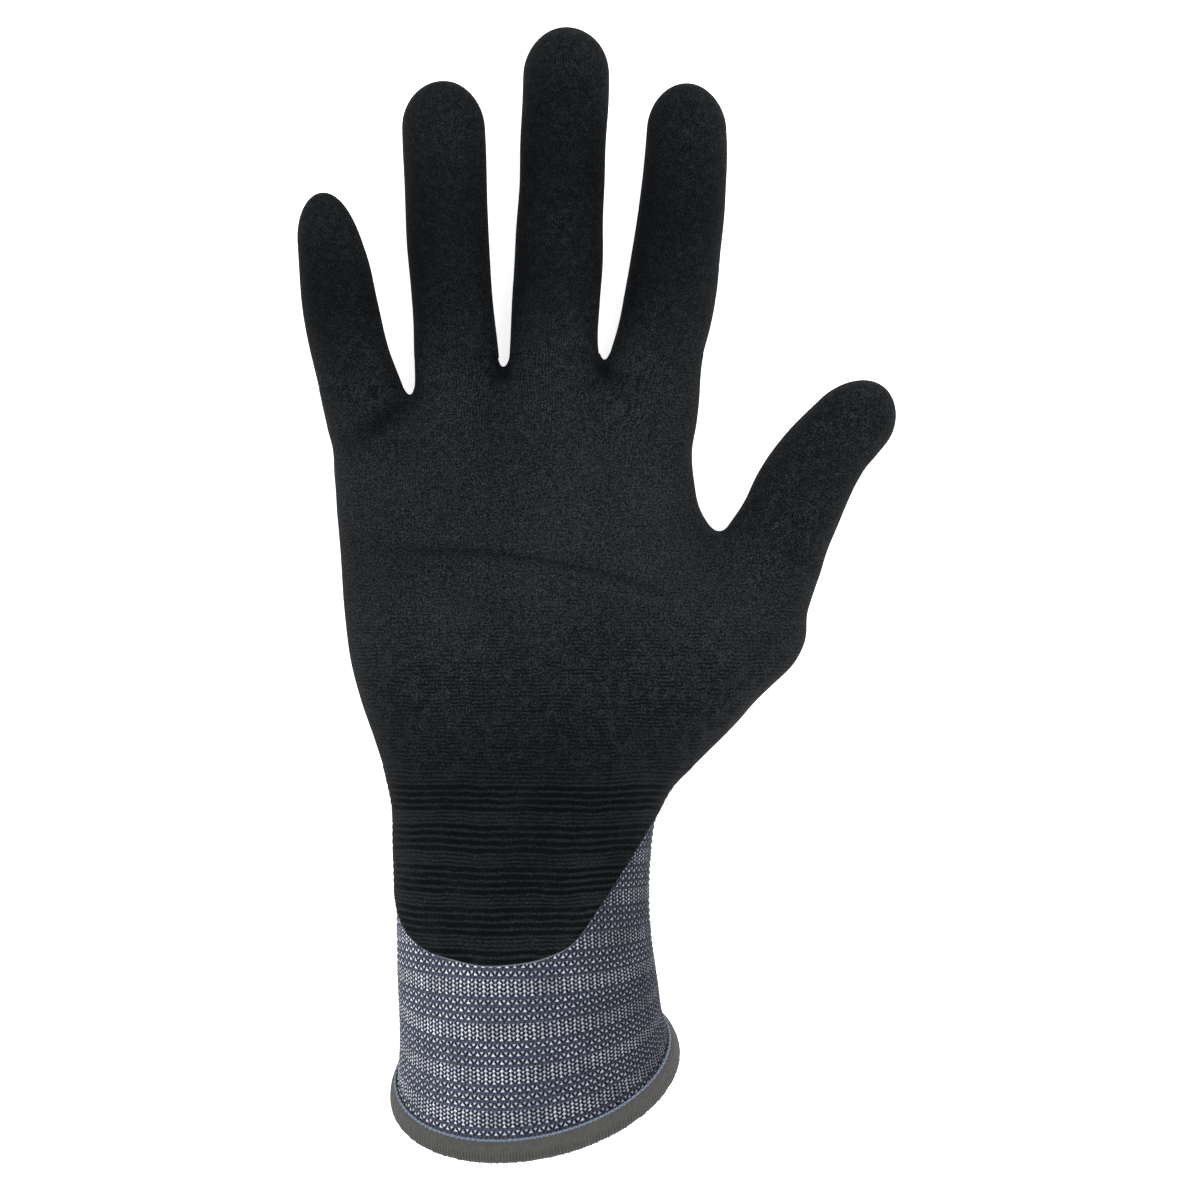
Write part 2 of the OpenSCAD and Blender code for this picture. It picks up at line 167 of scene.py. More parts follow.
for f in STALLS.values():
    f["xc"] = curve([(y, x) for y, x, _ in f["rows"]])
    f["hw"] = curve([(y, w) for y, _, w in f["rows"]])


def stall_centre_z(f, y):
    return f["z"] + f["rise"] * (np.clip(y - f["y0"], 0, None) / (f["tip"] - f["y0"])) ** 2


# The thumb in its own frame: along its axis from the web, and across it.
THUMB_TURN = math.radians(32)
THUMB_O = np.array([44.5, 17.7])
THUMB_ALONG = np.array([math.sin(THUMB_TURN), math.cos(THUMB_TURN)])
THUMB_ACROSS = np.array([math.cos(THUMB_TURN), -math.sin(THUMB_TURN)])
THUMB = dict(tip=38.4, cap=10.5)
THUMB["left"] = curve([(-40, -12), (-20, -11.6), (-8, -11), (-1, -10.9), (5, -11.5), (11, -11.6),
                       (17, -11.0), (23, -9.8), (29, -8.4), (34, -7.4), (39, -6.6)])
THUMB["right"] = curve([(-40, 16), (-20, 16.6), (-17.6, 16.1), (-15.2, 15.5), (-12.5, 14.8),
                        (-7, 13.5), (-1, 11.9), (5, 10.9), (11, 9.95), (17, 9.2), (20, 9.05),
                        (24, 9.6), (29, 10.25), (33, 10.4), (39, 10.2)])
THUMB["z"] = curve([(-40, 20), (-9, 21), (15, 22), (38, 25)])
THUMB["hd"] = curve([(-40, 11.5), (-9, 10.9), (10, 9.7), (25, 8.9), (39, 8.5)])

# The palm, wrist and cuff: left edge, right edge, centre Z, half depth and squareness against Y.
LEFT = curve([(56, -66.5), (46, -65.5), (34, -63.3), (27, -62.3), (20, -61.8), (13, -61.1),
              (-5.8, -59.6), (-15.2, -58.3), (-24.6, -55.8), (-34, -52.5), (-43.4, -49.6),
              (-50, -48.3), (-57.5, -48.1), (-71.6, -47.6), (-85.7, -47.1), (-101, -46.9),
              (-111.4, -47.6)])
RIGHT = curve([(56, 25.1), (46, 24.4), (34, 22.5), (27, 23.0), (20, 24.5), (13, 29.1), (6, 35.5),
               (1, 40), (-4, 45), (-8, 47.8), (-11, 48), (-13.2, 47.2), (-15.6, 45.9),
               (-19.9, 42.2), (-24.6, 37.4), (-29.3, 33.3), (-38.7, 23.9), (-43.4, 19.2),
               (-48.1, 15.8), (-52.8, 13.9), (-57.5, 13.1), (-65, 12.7), (-76.3, 13.0),
               (-91.4, 14.3), (-102, 15.6), (-107, 16.8), (-111.4, 18.4)])
BODY_Z = curve([(56, 14.3), (44, 14), (30, 14.4), (8, 16.4), (-12, 17.8), (-30, 18.9), (-41, 19.9),
                (-48, 21.4), (-57.5, 23.4), (-71, 24.1), (-86, 24.4), (-111.4, 24.9)])
BODY_D = curve([(56, 9), (44, 11.4), (30, 14.6), (8, 17), (-12, 18.6), (-30, 20), (-41, 20.5),
                (-48, 20.8), (-57.5, 21.3), (-71, 21.6), (-86, 22.2), (-101, 23.2), (-111.4, 24.2)])
BODY_N = curve([(50, 2.5), (10, 2.5), (-30, 2.3), (-41, 2.1), (-60, 2.0), (-111.4, 2.0)])
WEB_Y = curve([(-70, 34), (-62, 41), (-53, 45), (-44.5, 47), (-33, 50), (-22.4, 52.4), (-10, 53.5),
               (1.5, 54.9), (10, 51.6), (18, 46), (27, 36)])

THUMB_SPLIT = -8.0
WRIST_Y = -40.0


def norm_field(x, z, a, b, n):
    """Roughly the distance to a squarish oval."""
    ax, az = np.abs(x / a), np.abs(z / b)
    r = (ax**n + az**n) ** (1 / n)
    r = np.maximum(r, 1e-3)
    g = r ** (1 - n) * np.sqrt((ax ** (n - 1) / a) ** 2 + (az ** (n - 1) / b) ** 2)
    return (r - 1) / np.maximum(g, 1e-4)


def smooth_min(a, b, k):
    h = np.clip(0.5 + 0.5 * (b - a) / k, 0, 1)
    return b * (1 - h) + a * h - k * h * (1 - h)


def blob(x, y, cx, cy, rx, ry, turn=0.0):
    c, s = math.cos(math.radians(turn)), math.sin(math.radians(turn))
    u = ((x - cx) * c + (y - cy) * s) / rx
    v = (-(x - cx) * s + (y - cy) * c) / ry
    return np.exp(-(u * u + v * v))


# Hollows at the webs: centre, radii, turn and depth.
WEB_HOLLOWS = [(-51, 40.5, 9, 2.6, 37, 1.5), (-22.8, 52, 3, 3, 0, 1.6),
               (1.8, 53, 2.6, 2.6, 0, 1.6), (5, 49, 6, 3, -20, 0.7)]


def crease_y(x):
    """Where the crease across the palm lies."""
    return 10.3 - 0.0035 * np.clip(x + 38, 0, None) ** 2


def crease_ends(x):
    """The crease's strength along its length."""
    return ease((x + 56) / 18) * ease((24 - x) / 18)


def palm_relief(x, y):
    """How far the palm side stands out from its plain oval section."""
    z = 3.6 * blob(x, y, 25, -14, 15, 26, 32)
    z += 1.6 * blob(x, y, -44, -12, 11, 26)
    z -= 3.0 * blob(x, y, -13, 2, 20, 24, 8)
    for cx, cy in ((-45, 38), (-22, 43), (1.5, 43)):
        z -= 1.9 * blob(x, y, cx, cy, 4.5, 9)
    for cx, cy in ((-55, 40), (-33.5, 44), (-10.5, 45), (13, 43)):
        z += 0.9 * blob(x, y, cx, cy, 7, 8)
    for cx, cy, rx, ry, turn, deep in WEB_HOLLOWS:
        z -= deep * blob(x, y, cx, cy, rx, ry, turn)
    away = y - crease_y(x)
    z -= crease_ends(x) * (np.exp(-(away / 1.2) ** 2) - 0.7 * np.exp(-((away + 3.6) / 2.6) ** 2))
    return z * ease((y + 40) / 14)


def thumb_frame(x, y):
    """Places along the thumb's axis and across it."""
    dx, dy = x - THUMB_O[0], y - THUMB_O[1]
    return (dx * THUMB_ALONG[0] + dy * THUMB_ALONG[1], dx * THUMB_ACROSS[0] + dy * THUMB_ACROSS[1])


def hand_field(x, y, z):
    """The liner's outer surface over the palm and the roots of the stalls, as a distance."""
    cx = (LEFT(y) + RIGHT(y)) / 2
    hw = (RIGHT(y) - LEFT(y)) / 2 - COAT
    hd = BODY_D(y) - COAT
    zc = BODY_Z(y)
    top = np.clip((z - zc) / hd, 0, 1)
    zz = z - zc - palm_relief(x, y) * ease(top * 1.6)
    n = BODY_N(y)
    reach = 15.0
    over = np.clip((y - (WEB_Y(x) - reach)) / reach, 0, None)
    ax, az = np.abs((x - cx) / hw), np.abs(zz / hd)
    r = np.maximum((ax**n + az**n + over**2.6) ** (1 / n), 1e-3)
    g = np.sqrt((ax ** (n - 1) / hw) ** 2 + (az ** (n - 1) / hd) ** 2 + (over**1.6 / reach) ** 2)
    d = (r - 1) / np.maximum(r ** (1 - n) * g, 1e-3)
    fingers = None
    for f in STALLS.values():
        w = f["hw"](y) - COAT
        depth = (w + COAT) * DEPTH - COAT
        e = norm_field(x - f["xc"](y), z - stall_centre_z(f, y), w, depth, 2.0)
        # The stalls fade out below their roots, so that the outline has no kink.
        e = np.maximum(e + 0.02 * np.clip(40.0 - y, 0, None) ** 2, 24.0 - y)
        fingers = e if fingers is None else smooth_min(fingers, e, 1.6)
    d = smooth_min(d, fingers, 5.0)
    along, across = thumb_frame(x, y)
    left, right = THUMB["left"](along), THUMB["right"](along)
    e = norm_field(across - (left + right) / 2, z - THUMB["z"](along),
                   (right - left) / 2 - COAT, THUMB["hd"](along) - COAT, 2.0)
    e = np.maximum(e + 0.05 * np.clip(-26.0 - along, 0, None) ** 2, -38.0 - along)
    d = smooth_min(d, e, 6.0)
    # The back rests flat.
    k = 2.5
    floor = 0.15 - z
    h = np.clip(0.5 - 0.5 * (floor - d) / k, 0, 1)
    return floor * (1 - h) + d * h + k * h * (1 - h)


# ---------------------------------------------------------------- meshes as arrays
def field_mesh(field, low, high, step):
    """Quads of a field's zero surface."""
    axes = [np.arange(a, b + step, step) for a, b in zip(low, high)]
    x, y, z = np.meshgrid(*axes, indexing="ij", sparse=True)
    values = np.clip(field(x, y, z), -3 * step, 3 * step).astype(np.float32)
    grid = openvdb.FloatGrid(3 * step)
    grid.copyFromArray(np.ascontiguousarray(values))
    points, quads = grid.convertToQuads(0.0)
    return points.astype(float) * step + np.array(low), np.asarray(quads, int)


def edges_of(faces):
    e = np.concatenate([faces[:, [i, (i + 1) % 4]] for i in range(4)])
    e.sort(axis=1)
    return np.unique(e[e[:, 0] != e[:, 1]], axis=0)


def relax(points, faces, times, share=0.5):
    e = edges_of(faces)
    count = np.bincount(e.ravel(), minlength=len(points))[:, None]
    for _ in range(times):
        total = np.zeros_like(points)
        np.add.at(total, e[:, 0], points[e[:, 1]])
        np.add.at(total, e[:, 1], points[e[:, 0]])
        points = points + share * (total / np.maximum(count, 1) - points)
    return points


def vertex_normals(points, faces):
    a = points[faces[:, 2]] - points[faces[:, 0]]
    b = points[faces[:, 3]] - points[faces[:, 1]]
    n = np.cross(a, b)
    total = np.zeros_like(points)
    for i in range(4):
        np.add.at(total, faces[:, i], n)
    return total / np.maximum(np.linalg.norm(total, axis=1, keepdims=True), 1e-9)


def cut(points, faces, f, extras=()):
    """Keeps the part where f is above 0, sliding the nearest vertices onto the line where it is 0.
    Returns points, quads (a triangle repeats its last corner), f and the extras, slid alike."""
    e = edges_of(faces)
    f0, f1 = f[e[:, 0]], f[e[:, 1]]
    crossing = f0 * f1 < 0
    e, f0, f1 = e[crossing], f0[crossing], f1[crossing]
    t = f0 / (f0 - f1)
    mover = np.where(t < 0.5, e[:, 0], e[:, 1])
    other = np.where(t < 0.5, e[:, 1], e[:, 0])
    amount = np.where(t < 0.5, t, 1 - t)
    order = np.argsort(-amount, kind="stable")
    best_other = np.full(len(points), -1)
    best_t = np.zeros(len(points))
    best_other[mover[order]] = other[order]
    best_t[mover[order]] = amount[order]
    m = best_other >= 0
    w = best_t[m][:, None]
    out = points.copy()
    out[m] = points[m] * (1 - w) + points[best_other[m]] * w
    moved = []
    for x in extras:
        y = x.copy()
        ww = w if x.ndim > 1 else w[:, 0]
        y[m] = x[m] * (1 - ww) + x[best_other[m]] * ww
        moved.append(y)
    g = f.copy()
    g[m] = 0
    g[np.abs(g) < 1e-9] = 0
    fg = g[faces]
    low, high = fg.min(axis=1), fg.max(axis=1)
    keep = faces[(low >= 0) & (high > 0)]
    mixed = faces[(low < 0) & (high > 0)]
    extra = []
    for q in mixed:
        s = g[q]
        for i in range(4):
            tri = [q[i], q[(i + 1) % 4], q[(i + 3) % 4]]
            if s[i] > 0 and g[tri[1]] >= 0 and g[tri[2]] >= 0:
                extra.append([tri[0], tri[1], tri[2], tri[2]])
                break
    if extra:
        keep = np.concatenate([keep, np.array(extra, int)])
    return out, keep, g, moved


def pack_mesh(points, faces, arrays):
    """Drops unused vertices."""
    used = np.unique(faces)
    index = np.full(len(points), -1)
    index[used] = np.arange(len(used))
    return points[used], index[faces], [a[used] for a in arrays]


def rim_edges(faces):
    """Directed boundary edges."""
    d = np.concatenate([faces[:, [i, (i + 1) % 4]] for i in range(4)])
    d = d[d[:, 0] != d[:, 1]]
    key = np.sort(d, axis=1)
    _, inverse, count = np.unique(key, axis=0, return_inverse=True, return_counts=True)
    return d[count[inverse.ravel()] == 1]


def make_object(name, points, faces, uv, normals=None, fields=None):
    """A mesh object from arrays. faces are quads, or triangles that repeat the last corner."""
    tri = faces[:, 2] == faces[:, 3]
    sizes = np.where(tri, 3, 4)
    mask = np.ones((len(faces), 4), bool)
    mask[tri, 3] = False
    loops = faces[mask]
    mesh = bpy.data.meshes.new(name)
    mesh.vertices.add(len(points))
    mesh.vertices.foreach_set("co", to_row(points).astype(np.float32).ravel())
    mesh.loops.add(len(loops))
    mesh.loops.foreach_set("vertex_index", loops.astype(np.int32))
    mesh.polygons.add(len(faces))
    starts = np.concatenate([[0], np.cumsum(sizes)[:-1]])
    mesh.polygons.foreach_set("loop_start", starts.astype(np.int32))
    mesh.polygons.foreach_set("use_smooth", np.ones(len(faces), bool))
    mesh.update(calc_edges=True)
    layer = mesh.uv_layers.new(name="knit")
    layer.data.foreach_set("uv", uv[mask].astype(np.float32).ravel())
    for key, values in (fields or {}).items():
        a = mesh.attributes.new(key, "FLOAT", "POINT")
        a.data.foreach_set("value", values.astype(np.float32))
    if normals is not None:
        mesh.normals_split_custom_set_from_vertices(normals.astype(np.float32).tolist())
    o = bpy.data.objects.new(name, mesh)
    bpy.context.scene.collection.objects.link(o)
    return o


def flipped(faces):
    """The same faces turned over."""
    tri = faces[:, 2] == faces[:, 3]
    return np.where(tri[:, None], faces[:, [0, 2, 1, 1]], faces[:, ::-1])


def corner_uv(faces, uv, turns):
    """Face-corner coordinates from vertex ones, with faces across the back joined up."""
    c = uv[faces]
    wide = c[..., 0].max(axis=1) - c[..., 0].min(axis=1) > turns / 2
    c[wide, :, 0] = np.where(c[wide, :, 0] < 0, c[wide, :, 0] + turns, c[wide, :, 0])
    return c


def shell(name, points, faces, normals, outer, inner, uv, turns, fields=None):
    """A closed skin: the sheet pushed out and in along its normals, joined at its rims."""
    fields = fields or {}
    arrays = [normals, uv] + list(fields.values())
    pushed = [np.broadcast_to(np.asarray(d, float), len(points)) for d in (outer, inner)]
    points, faces, arrays = pack_mesh(points, faces, arrays + pushed)
    normals, uv, outer, inner = arrays[0], arrays[1], arrays[-2], arrays[-1]
    values = {k: np.concatenate([v, v]) for k, v in zip(fields, arrays[2:])}
    n = len(points)
    both = np.concatenate([points + normals * outer[:, None], points + normals * inner[:, None]])
    rim = rim_edges(faces)
    back = flipped(faces)
    side = np.stack([rim[:, 1], rim[:, 0], rim[:, 0] + n, rim[:, 1] + n], axis=1)
    side_uv = np.stack([rim[:, 1], rim[:, 0], rim[:, 0], rim[:, 1]], axis=1)
    corners = [corner_uv(q, uv, turns) for q in (faces, back, side_uv)]
    return make_object(name, both, np.concatenate([faces, back + n, side]), np.concatenate(corners),
                       np.concatenate([normals, -normals]), values)


def dip_shell(name, points, faces, normals, g, uv, turns, fields):
    """A dip's skin on the palm or a stall, thinning out towards its edge."""
    outer = -EDGE_SINK + (COAT + EDGE_SINK) * ease(g / EDGE_WIDTH)
    return shell(name, points, faces, normals, outer, -SKIN_SINK, uv, turns,
                 dict(fields, margin=np.clip(g, 0, 1)))


# ---------------------------------------------------------------- materials
def material(name):
    m = bpy.data.materials.new(name)
    m.use_nodes = True
    return m


class Nodes:
    """Short ways to lay out a material's nodes."""

    def __init__(self, mat):
        self.tree = mat.node_tree
        self.bsdf = self.tree.nodes["Principled BSDF"]

    def new(self, kind, **values):
        n = self.tree.nodes.new(kind)
        for k, v in values.items():
            setattr(n, k, v)
        return n

    def put(self, socket, value):
        if isinstance(value, bpy.types.NodeSocket):
            self.tree.links.new(value, socket)
        else:
            socket.default_value = value

    def math(self, operation, a, b=0.0, c=0.0, clamp=False):
        n = self.new("ShaderNodeMath", operation=operation, use_clamp=clamp)
        self.put(n.inputs[0], a)
        self.put(n.inputs[1], b)
        self.put(n.inputs[2], c)
        return n.outputs[0]

    def times(self, a, b, clamp=False):
        return self.math("MULTIPLY", a, b, clamp=clamp)

    def plus(self, a, b, clamp=False):
        return self.math("ADD", a, b, clamp=clamp)

    def minus(self, a, b):
        return self.math("SUBTRACT", a, b)

    def scaled(self, a, factor, offset):
        return self.math("MULTIPLY_ADD", a, factor, offset)

    def wave(self, a, waves=1.0, low=0.0):
        """A cosine between low and 1, so many waves for each unit of a."""
        half = (1 - low) / 2
        return self.scaled(self.math("COSINE", self.times(a, waves * TURN)), half, 1 - half)

    def blend(self, t, a, b, kind="FLOAT", first=2):
        n = self.new("ShaderNodeMix", data_type=kind)
        self.put(n.inputs[0], t)
        self.put(n.inputs[first], a)
        self.put(n.inputs[first + 1], b)
        return n.outputs[0 if kind == "FLOAT" else 2]

    def mix(self, t, a, b):
        return self.blend(t, a, b, "RGBA", 6)

    def noise(self, scale, detail=2.0, rough=0.5):
        n = self.new("ShaderNodeTexNoise")
        n.inputs["Scale"].default_value = scale
        n.inputs["Detail"].default_value = detail
        n.inputs["Roughness"].default_value = rough
        self.put(n.inputs["Vector"], self.new("ShaderNodeTexCoord").outputs["Object"])
        return n.outputs["Fac"]

    def attribute(self, name):
        return self.new("ShaderNodeAttribute", attribute_name=name).outputs["Fac"]

    def knit(self):
        uv = self.new("ShaderNodeUVMap", uv_map="knit").outputs["UV"]
        s = self.new("ShaderNodeSeparateXYZ")
        self.put(s.inputs[0], uv)
        return s.outputs[0], s.outputs[1]

    def range(self, value, a, b, c=0.0, d=1.0):
        n = self.new("ShaderNodeMapRange", interpolation_type="SMOOTHSTEP")
        for i, v in enumerate((value, a, b, c, d)):
            self.put(n.inputs[i], v)
        return n.outputs[0]

    def bump(self, height, distance, strength, under=None):
        n = self.new("ShaderNodeBump")
        n.inputs["Strength"].default_value = strength
        n.inputs["Distance"].default_value = distance
        self.put(n.inputs["Height"], height)
        if under is not None:
            self.put(n.inputs["Normal"], under)
        return n.outputs["Normal"]

    def finish(self, colour, normal, **values):
        self.put(self.bsdf.inputs["Base Color"], colour)
        self.put(self.bsdf.inputs["Normal"], normal)
        for key, value in values.items():
            self.bsdf.inputs[SOCKETS[key]].default_value = value


SOCKETS = {"rough": "Roughness", "specular": "Specular IOR Level", "sheen": "Sheen Weight",
           "sheen_rough": "Sheen Roughness"}


# ---------------------------------------------------------------- the knit's own measure
COURSE = 0.85
# The ribbing repeats down the wrist and cuff. A repeat is four inlaid elastic lines with three
# rows of open stitches between them, then four close rows: eleven strips in all.
STRIPS = 11
LINED_STRIPS = 7
LINE_SHARE, OPEN_SHARE, CLOSE_SHARE = 0.072, 0.109, 0.0963
STRIP_SHARES = [LINE_SHARE, OPEN_SHARE] * 3 + [LINE_SHARE] + [CLOSE_SHARE] * 4
STRIP_ENDS = np.concatenate([[0], np.cumsum(STRIP_SHARES)])
# Where each repeat starts, by the Y of the front of the knit.
REPEAT_STARTS = [-44.0, -53.0, -62.0, -71.2, -81.0, -91.1, -101.0, -110.7, -120.3, -130.0]


def strips_at(front):
    """How many strips down the ribbing the front of the knit is at this Y."""
    front = np.asarray(front, float)
    t = np.interp(-front, -np.array(REPEAT_STARTS), np.arange(len(REPEAT_STARTS)))
    whole = np.floor(t)
    below = whole * STRIPS + np.interp(t - whole, STRIP_ENDS / STRIP_ENDS[-1], np.arange(STRIPS + 1))
    return np.where(front > REPEAT_STARTS[0], (REPEAT_STARTS[0] - front), below)


def on_line(strips):
    """1 on an elastic line's strip, 0 on a stitch's."""
    m = np.mod(strips, STRIPS)
    return ((m < LINED_STRIPS) & (np.mod(m, 2) < 1)).astype(float)


def wrinkle(p, seed, size, count=10):
    """Soft seeded waviness, about -1 to 1."""
    r = np.random.default_rng(seed)
    total = np.zeros(len(p))
    for _ in range(count):
        d = r.normal(size=3)
        d /= np.linalg.norm(d)
        per_mm = 2 * math.pi / (size * r.uniform(0.7, 1.5))
        total += np.sin(p @ d * per_mm + r.uniform(0, 6.28))
    return total / math.sqrt(count * 2)


def grid_faces(rows, cols, closed):
    j = np.arange(cols if closed else cols - 1)
    i = np.arange(rows - 1)[:, None]
    k = (j + 1) % cols
    corners = [i * cols + j, i * cols + k, (i + 1) * cols + k, (i + 1) * cols + j]
    return np.stack(corners, axis=-1).reshape(-1, 4)


# ---------------------------------------------------------------- the stalls
COLS = 96
WRAP = 118.0
TIP_DIP = 19.0
RING_STEP = 0.62
# Where the rings of a stall's rounded end lie, as angles up from its shaft.
CAP_DEGREES = np.array([6, 12, 18, 24, 30, 36, 42, 48, 54, 60, 65.5, 70.5, 75, 79, 82.5, 85.5, 88])
THETA = np.linspace(-180, 180, COLS + 1)[:-1]


def dip_cover(from_root, to_tip, angle, seed):
    """Distance inside the dip's edge: it covers the sides of the shaft, and all of the tip."""
    wave = 5 * np.sin(to_tip * 0.23 + seed) + 3 * np.sin(to_tip * 0.61 + 2 * seed)
    side = (WRAP + wave * ease(from_root / 8) - np.abs(angle)) * 0.17
    tip = TIP_DIP + 0.5 * np.sin(np.radians(angle) * 3 + seed) - to_tip
    return -smooth_min(-side, -tip, 5.0)


def ring_rows(start, tip, cap):
    """Where a stall's rings lie along it, and how much those of its rounded end shrink."""
    end = tip - cap
    shaft = np.append(np.arange(start, end, RING_STEP)[:-1], end)
    beta = np.radians(CAP_DEGREES)
    return (np.concatenate([shaft, end + (cap - COAT) * np.sin(beta)]),
            np.concatenate([np.ones(len(shaft)), np.cos(beta)]))


def finger_tube(f):
    """Points of a finger stall's liner, as rows of rings, and where the rows lie."""
    start, *cuts = f["splits"]
    ys, scale = ring_rows(start, f["tip"], f["cap"])
    a = (f["hw"](ys) - COAT) * scale
    b = (f["hw"](ys) * DEPTH - COAT) * scale
    t = np.radians(THETA)[None]
    e = 2 / 2.15
    sx = np.sign(np.sin(t)) * np.abs(np.sin(t)) ** e
    cx = np.sign(np.cos(t)) * np.abs(np.cos(t)) ** e
    x = f["xc"](ys)[:, None] + a[:, None] * sx
    z = stall_centre_z(f, ys)[:, None] + b[:, None] * cx
    # A ring lies on each split.
    for s in cuts:
        ys[np.argmin(np.abs(ys - s))] = s
    return np.stack([x, np.repeat(ys[:, None], COLS, axis=1), z], axis=-1), ys


def thumb_tube(start):
    s, scale = ring_rows(start, THUMB["tip"], THUMB["cap"])
    left, right = THUMB["left"](s), THUMB["right"](s)
    a = ((right - left) / 2 - COAT) * scale
    b = (THUMB["hd"](s) - COAT) * scale
    t = np.radians(THETA)[None]
    u = ((left + right) / 2)[:, None] + a[:, None] * np.sin(t)
    z = THUMB["z"](s)[:, None] + b[:, None] * np.cos(t)
    along = np.repeat(s[:, None], COLS, axis=1)
    xy = THUMB_O + u[..., None] * THUMB_ACROSS + along[..., None] * THUMB_ALONG
    return np.concatenate([xy, z[..., None]], axis=-1), s


def stall_painted_shade(name, points, axis, origin, tip_at):
    """Painted shade on a stall's foam: darker on the shaft than at its root and its tip, and on the
    fingers darker on the side away from the thumb, with a soft random mottle.
    """
    s = (points[:, :2] - origin) @ axis
    if name == "thumb":
        return 1.0 - 0.06 * ease(s / 20) + 0.08 * ease((s - tip_at + 16) / 12)
    side = (points[:, 0] - STALLS[name]["xc"](s)) / STALLS[name]["hw"](s)
    painted_shade = 0.81 if name in ("little", "ring") else 0.9
    painted_shade = painted_shade - 0.44 * ease((s - 50) / 26) + 0.24 * ease((s - tip_at + 24) / 18)
    return painted_shade + 0.14 * side * ease((s - 50) / 10) + 0.07 * wrinkle(points, len(name), 22)


def build_stall(name, grid, along, tip_at, splits, chain, axis, origin):
    """Makes a stall's liner and dip pieces, one pair for each joint of its chain of bodies."""
    rows, cols = grid.shape[:2]
    points = grid.reshape(-1, 3)
    # A point closes the tip.
    pole = len(points)
    points = np.concatenate([points, points[-cols:].mean(axis=0)[None]])
    last = (rows - 1) * cols
    j = np.arange(cols)
    tips = np.full(cols, pole)
    caps = np.stack([last + j, last + (j + 1) % cols, tips, tips], axis=1)
    faces = np.concatenate([grid_faces(rows, cols, True), caps])
    s = np.append(np.repeat(along, cols), tip_at)
    theta = np.append(np.tile(THETA, rows), 0.0)
    normals = vertex_normals(points, faces)
    soft = wrinkle(points, len(name) * 7 + int(abs(points[0, 0])), 17) * 0.16
    points = points + normals * soft[:, None]
    turns = 62 if name == "thumb" else 60
    uv = np.stack([theta / 360 * turns, -s / COURSE], axis=1)
    covered = np.minimum(dip_cover(s - splits[0], tip_at - s, theta, len(name)), 4.0)
    covered[-1] = 4.0
    ends = list(splits) + [1e9]
    middle_s = s[faces].mean(axis=1)
    for k, (a, b) in enumerate(zip(chain, chain[1:])):
        piece = faces[(middle_s >= ends[k] - 1e-6) & (middle_s < ends[k + 1] - 1e-6)]
        knuckle = {0: "root", len(chain) - 2: "end"}.get(k, "mid")
        part = b.split("_")[1]
        liner = shell(f"{name}_{part}_liner_knit", points, piece, normals, 0.0, -LINER, uv, turns)
        liner.data.materials.append(liner_material)
        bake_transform(liner)
        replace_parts(liner, f"{name}_{part}_liner", f"{name}_{knuckle}_knuckle")
        p, q, g, (n2, uv2) = cut(points, piece, covered, (normals, uv))
        # The fields carry the knit's lines and the stall's painted shade.
        fields = {"wales": np.full(len(p), 0.7), "painted_shade": stall_painted_shade(name, p, axis, origin, tip_at)}
        dip = dip_shell(f"{name}_{part}_dip_skin", p, q, n2, g, uv2, turns, fields)
        dip.data.materials.append(dip_material)
        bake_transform(dip)
        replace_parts(dip, f"{name}_{part}_dip")


liner_material = material("heather_knit")
cuff_material = material("rib_knit")
dip_material = material("foam_nitrile")
hem_material = material("overlock_yarn")
thread_material = material("edge_thread")
elastic_material = material("elastic_yarn")

for name, f in STALLS.items():
    grid, ys = finger_tube(f)
    chain = ("palm", f"{name}_base", f"{name}_mid", f"{name}_tip")
    build_stall(name, grid, ys, f["tip"] - COAT, f["splits"], chain, np.array([0.0, 1.0]), np.zeros(2))
grid, along = thumb_tube(THUMB_SPLIT)
thumb_splits = (THUMB_SPLIT, float(along[np.argmin(np.abs(along - 4.5))]))
build_stall("thumb", grid, along, THUMB["tip"] - COAT, thumb_splits,
            ("palm", "thumb_base", "thumb_tip"), THUMB_ALONG, THUMB_O)


# ---------------------------------------------------------------- the palm
def dip_line(x, y):
    """How low down the sides the dip reaches, as a Z. It meets the edges of the stalls' dips."""
    along, across = thumb_frame(x, y)
    thumb = ease((along + 36) / 26) * ease((across + 22) / 12)
    wave = 1.2 * np.sin(y * 0.21 + x * 0.05) + 0.7 * np.sin(y * 0.53 + 1.0)
    wave = wave * ease((48 - y) / 10) * (1 - thumb)
    return 7.5 + wave + 6 * ease((-y - 20) / 25) + 2.7 * ease((y - 32) / 14) + 8.6 * thumb


PALM_TURNS = 176
# An oval like the palm's section: shares of its way round against the angle from its front.
OVAL = np.linspace(0, math.pi, 181)
OVAL_STEPS = np.hypot(np.diff(42 * np.sin(OVAL)), np.diff(18 * np.cos(OVAL)))
OVAL_LENGTHS = np.concatenate([[0], np.cumsum(OVAL_STEPS)])


def palm_columns(x, y, z):
    """Which column of the knit each point of the palm is on, counted from the front's middle."""
    half_turns = PALM_TURNS / 2
    hw = (RIGHT(y) - LEFT(y)) / 2
    cx = (RIGHT(y) + LEFT(y)) / 2
    phi = np.arctan2((x - cx) / hw, (z - BODY_Z(y)) / BODY_D(y))
    u = np.sign(phi) * np.interp(np.abs(phi), OVAL, OVAL_LENGTHS / OVAL_LENGTHS[-1]) * half_turns
    # Over the back of the finger roots and the thumb's the columns run straight.
    straight = np.sign(phi) * half_turns - (x - cx) / OVAL_LENGTHS[-1] * half_turns
    along, across = thumb_frame(x, y)
    thumb_root = ease((along + 34) / 16) * ease((across + 22) / 10)
    back = np.maximum(ease((y - 20) / 16), thumb_root)
    back = back * ease((BODY_Z(y) + 5.0 + 3.0 * thumb_root - z) / 8)
    return u + (straight - u) * back


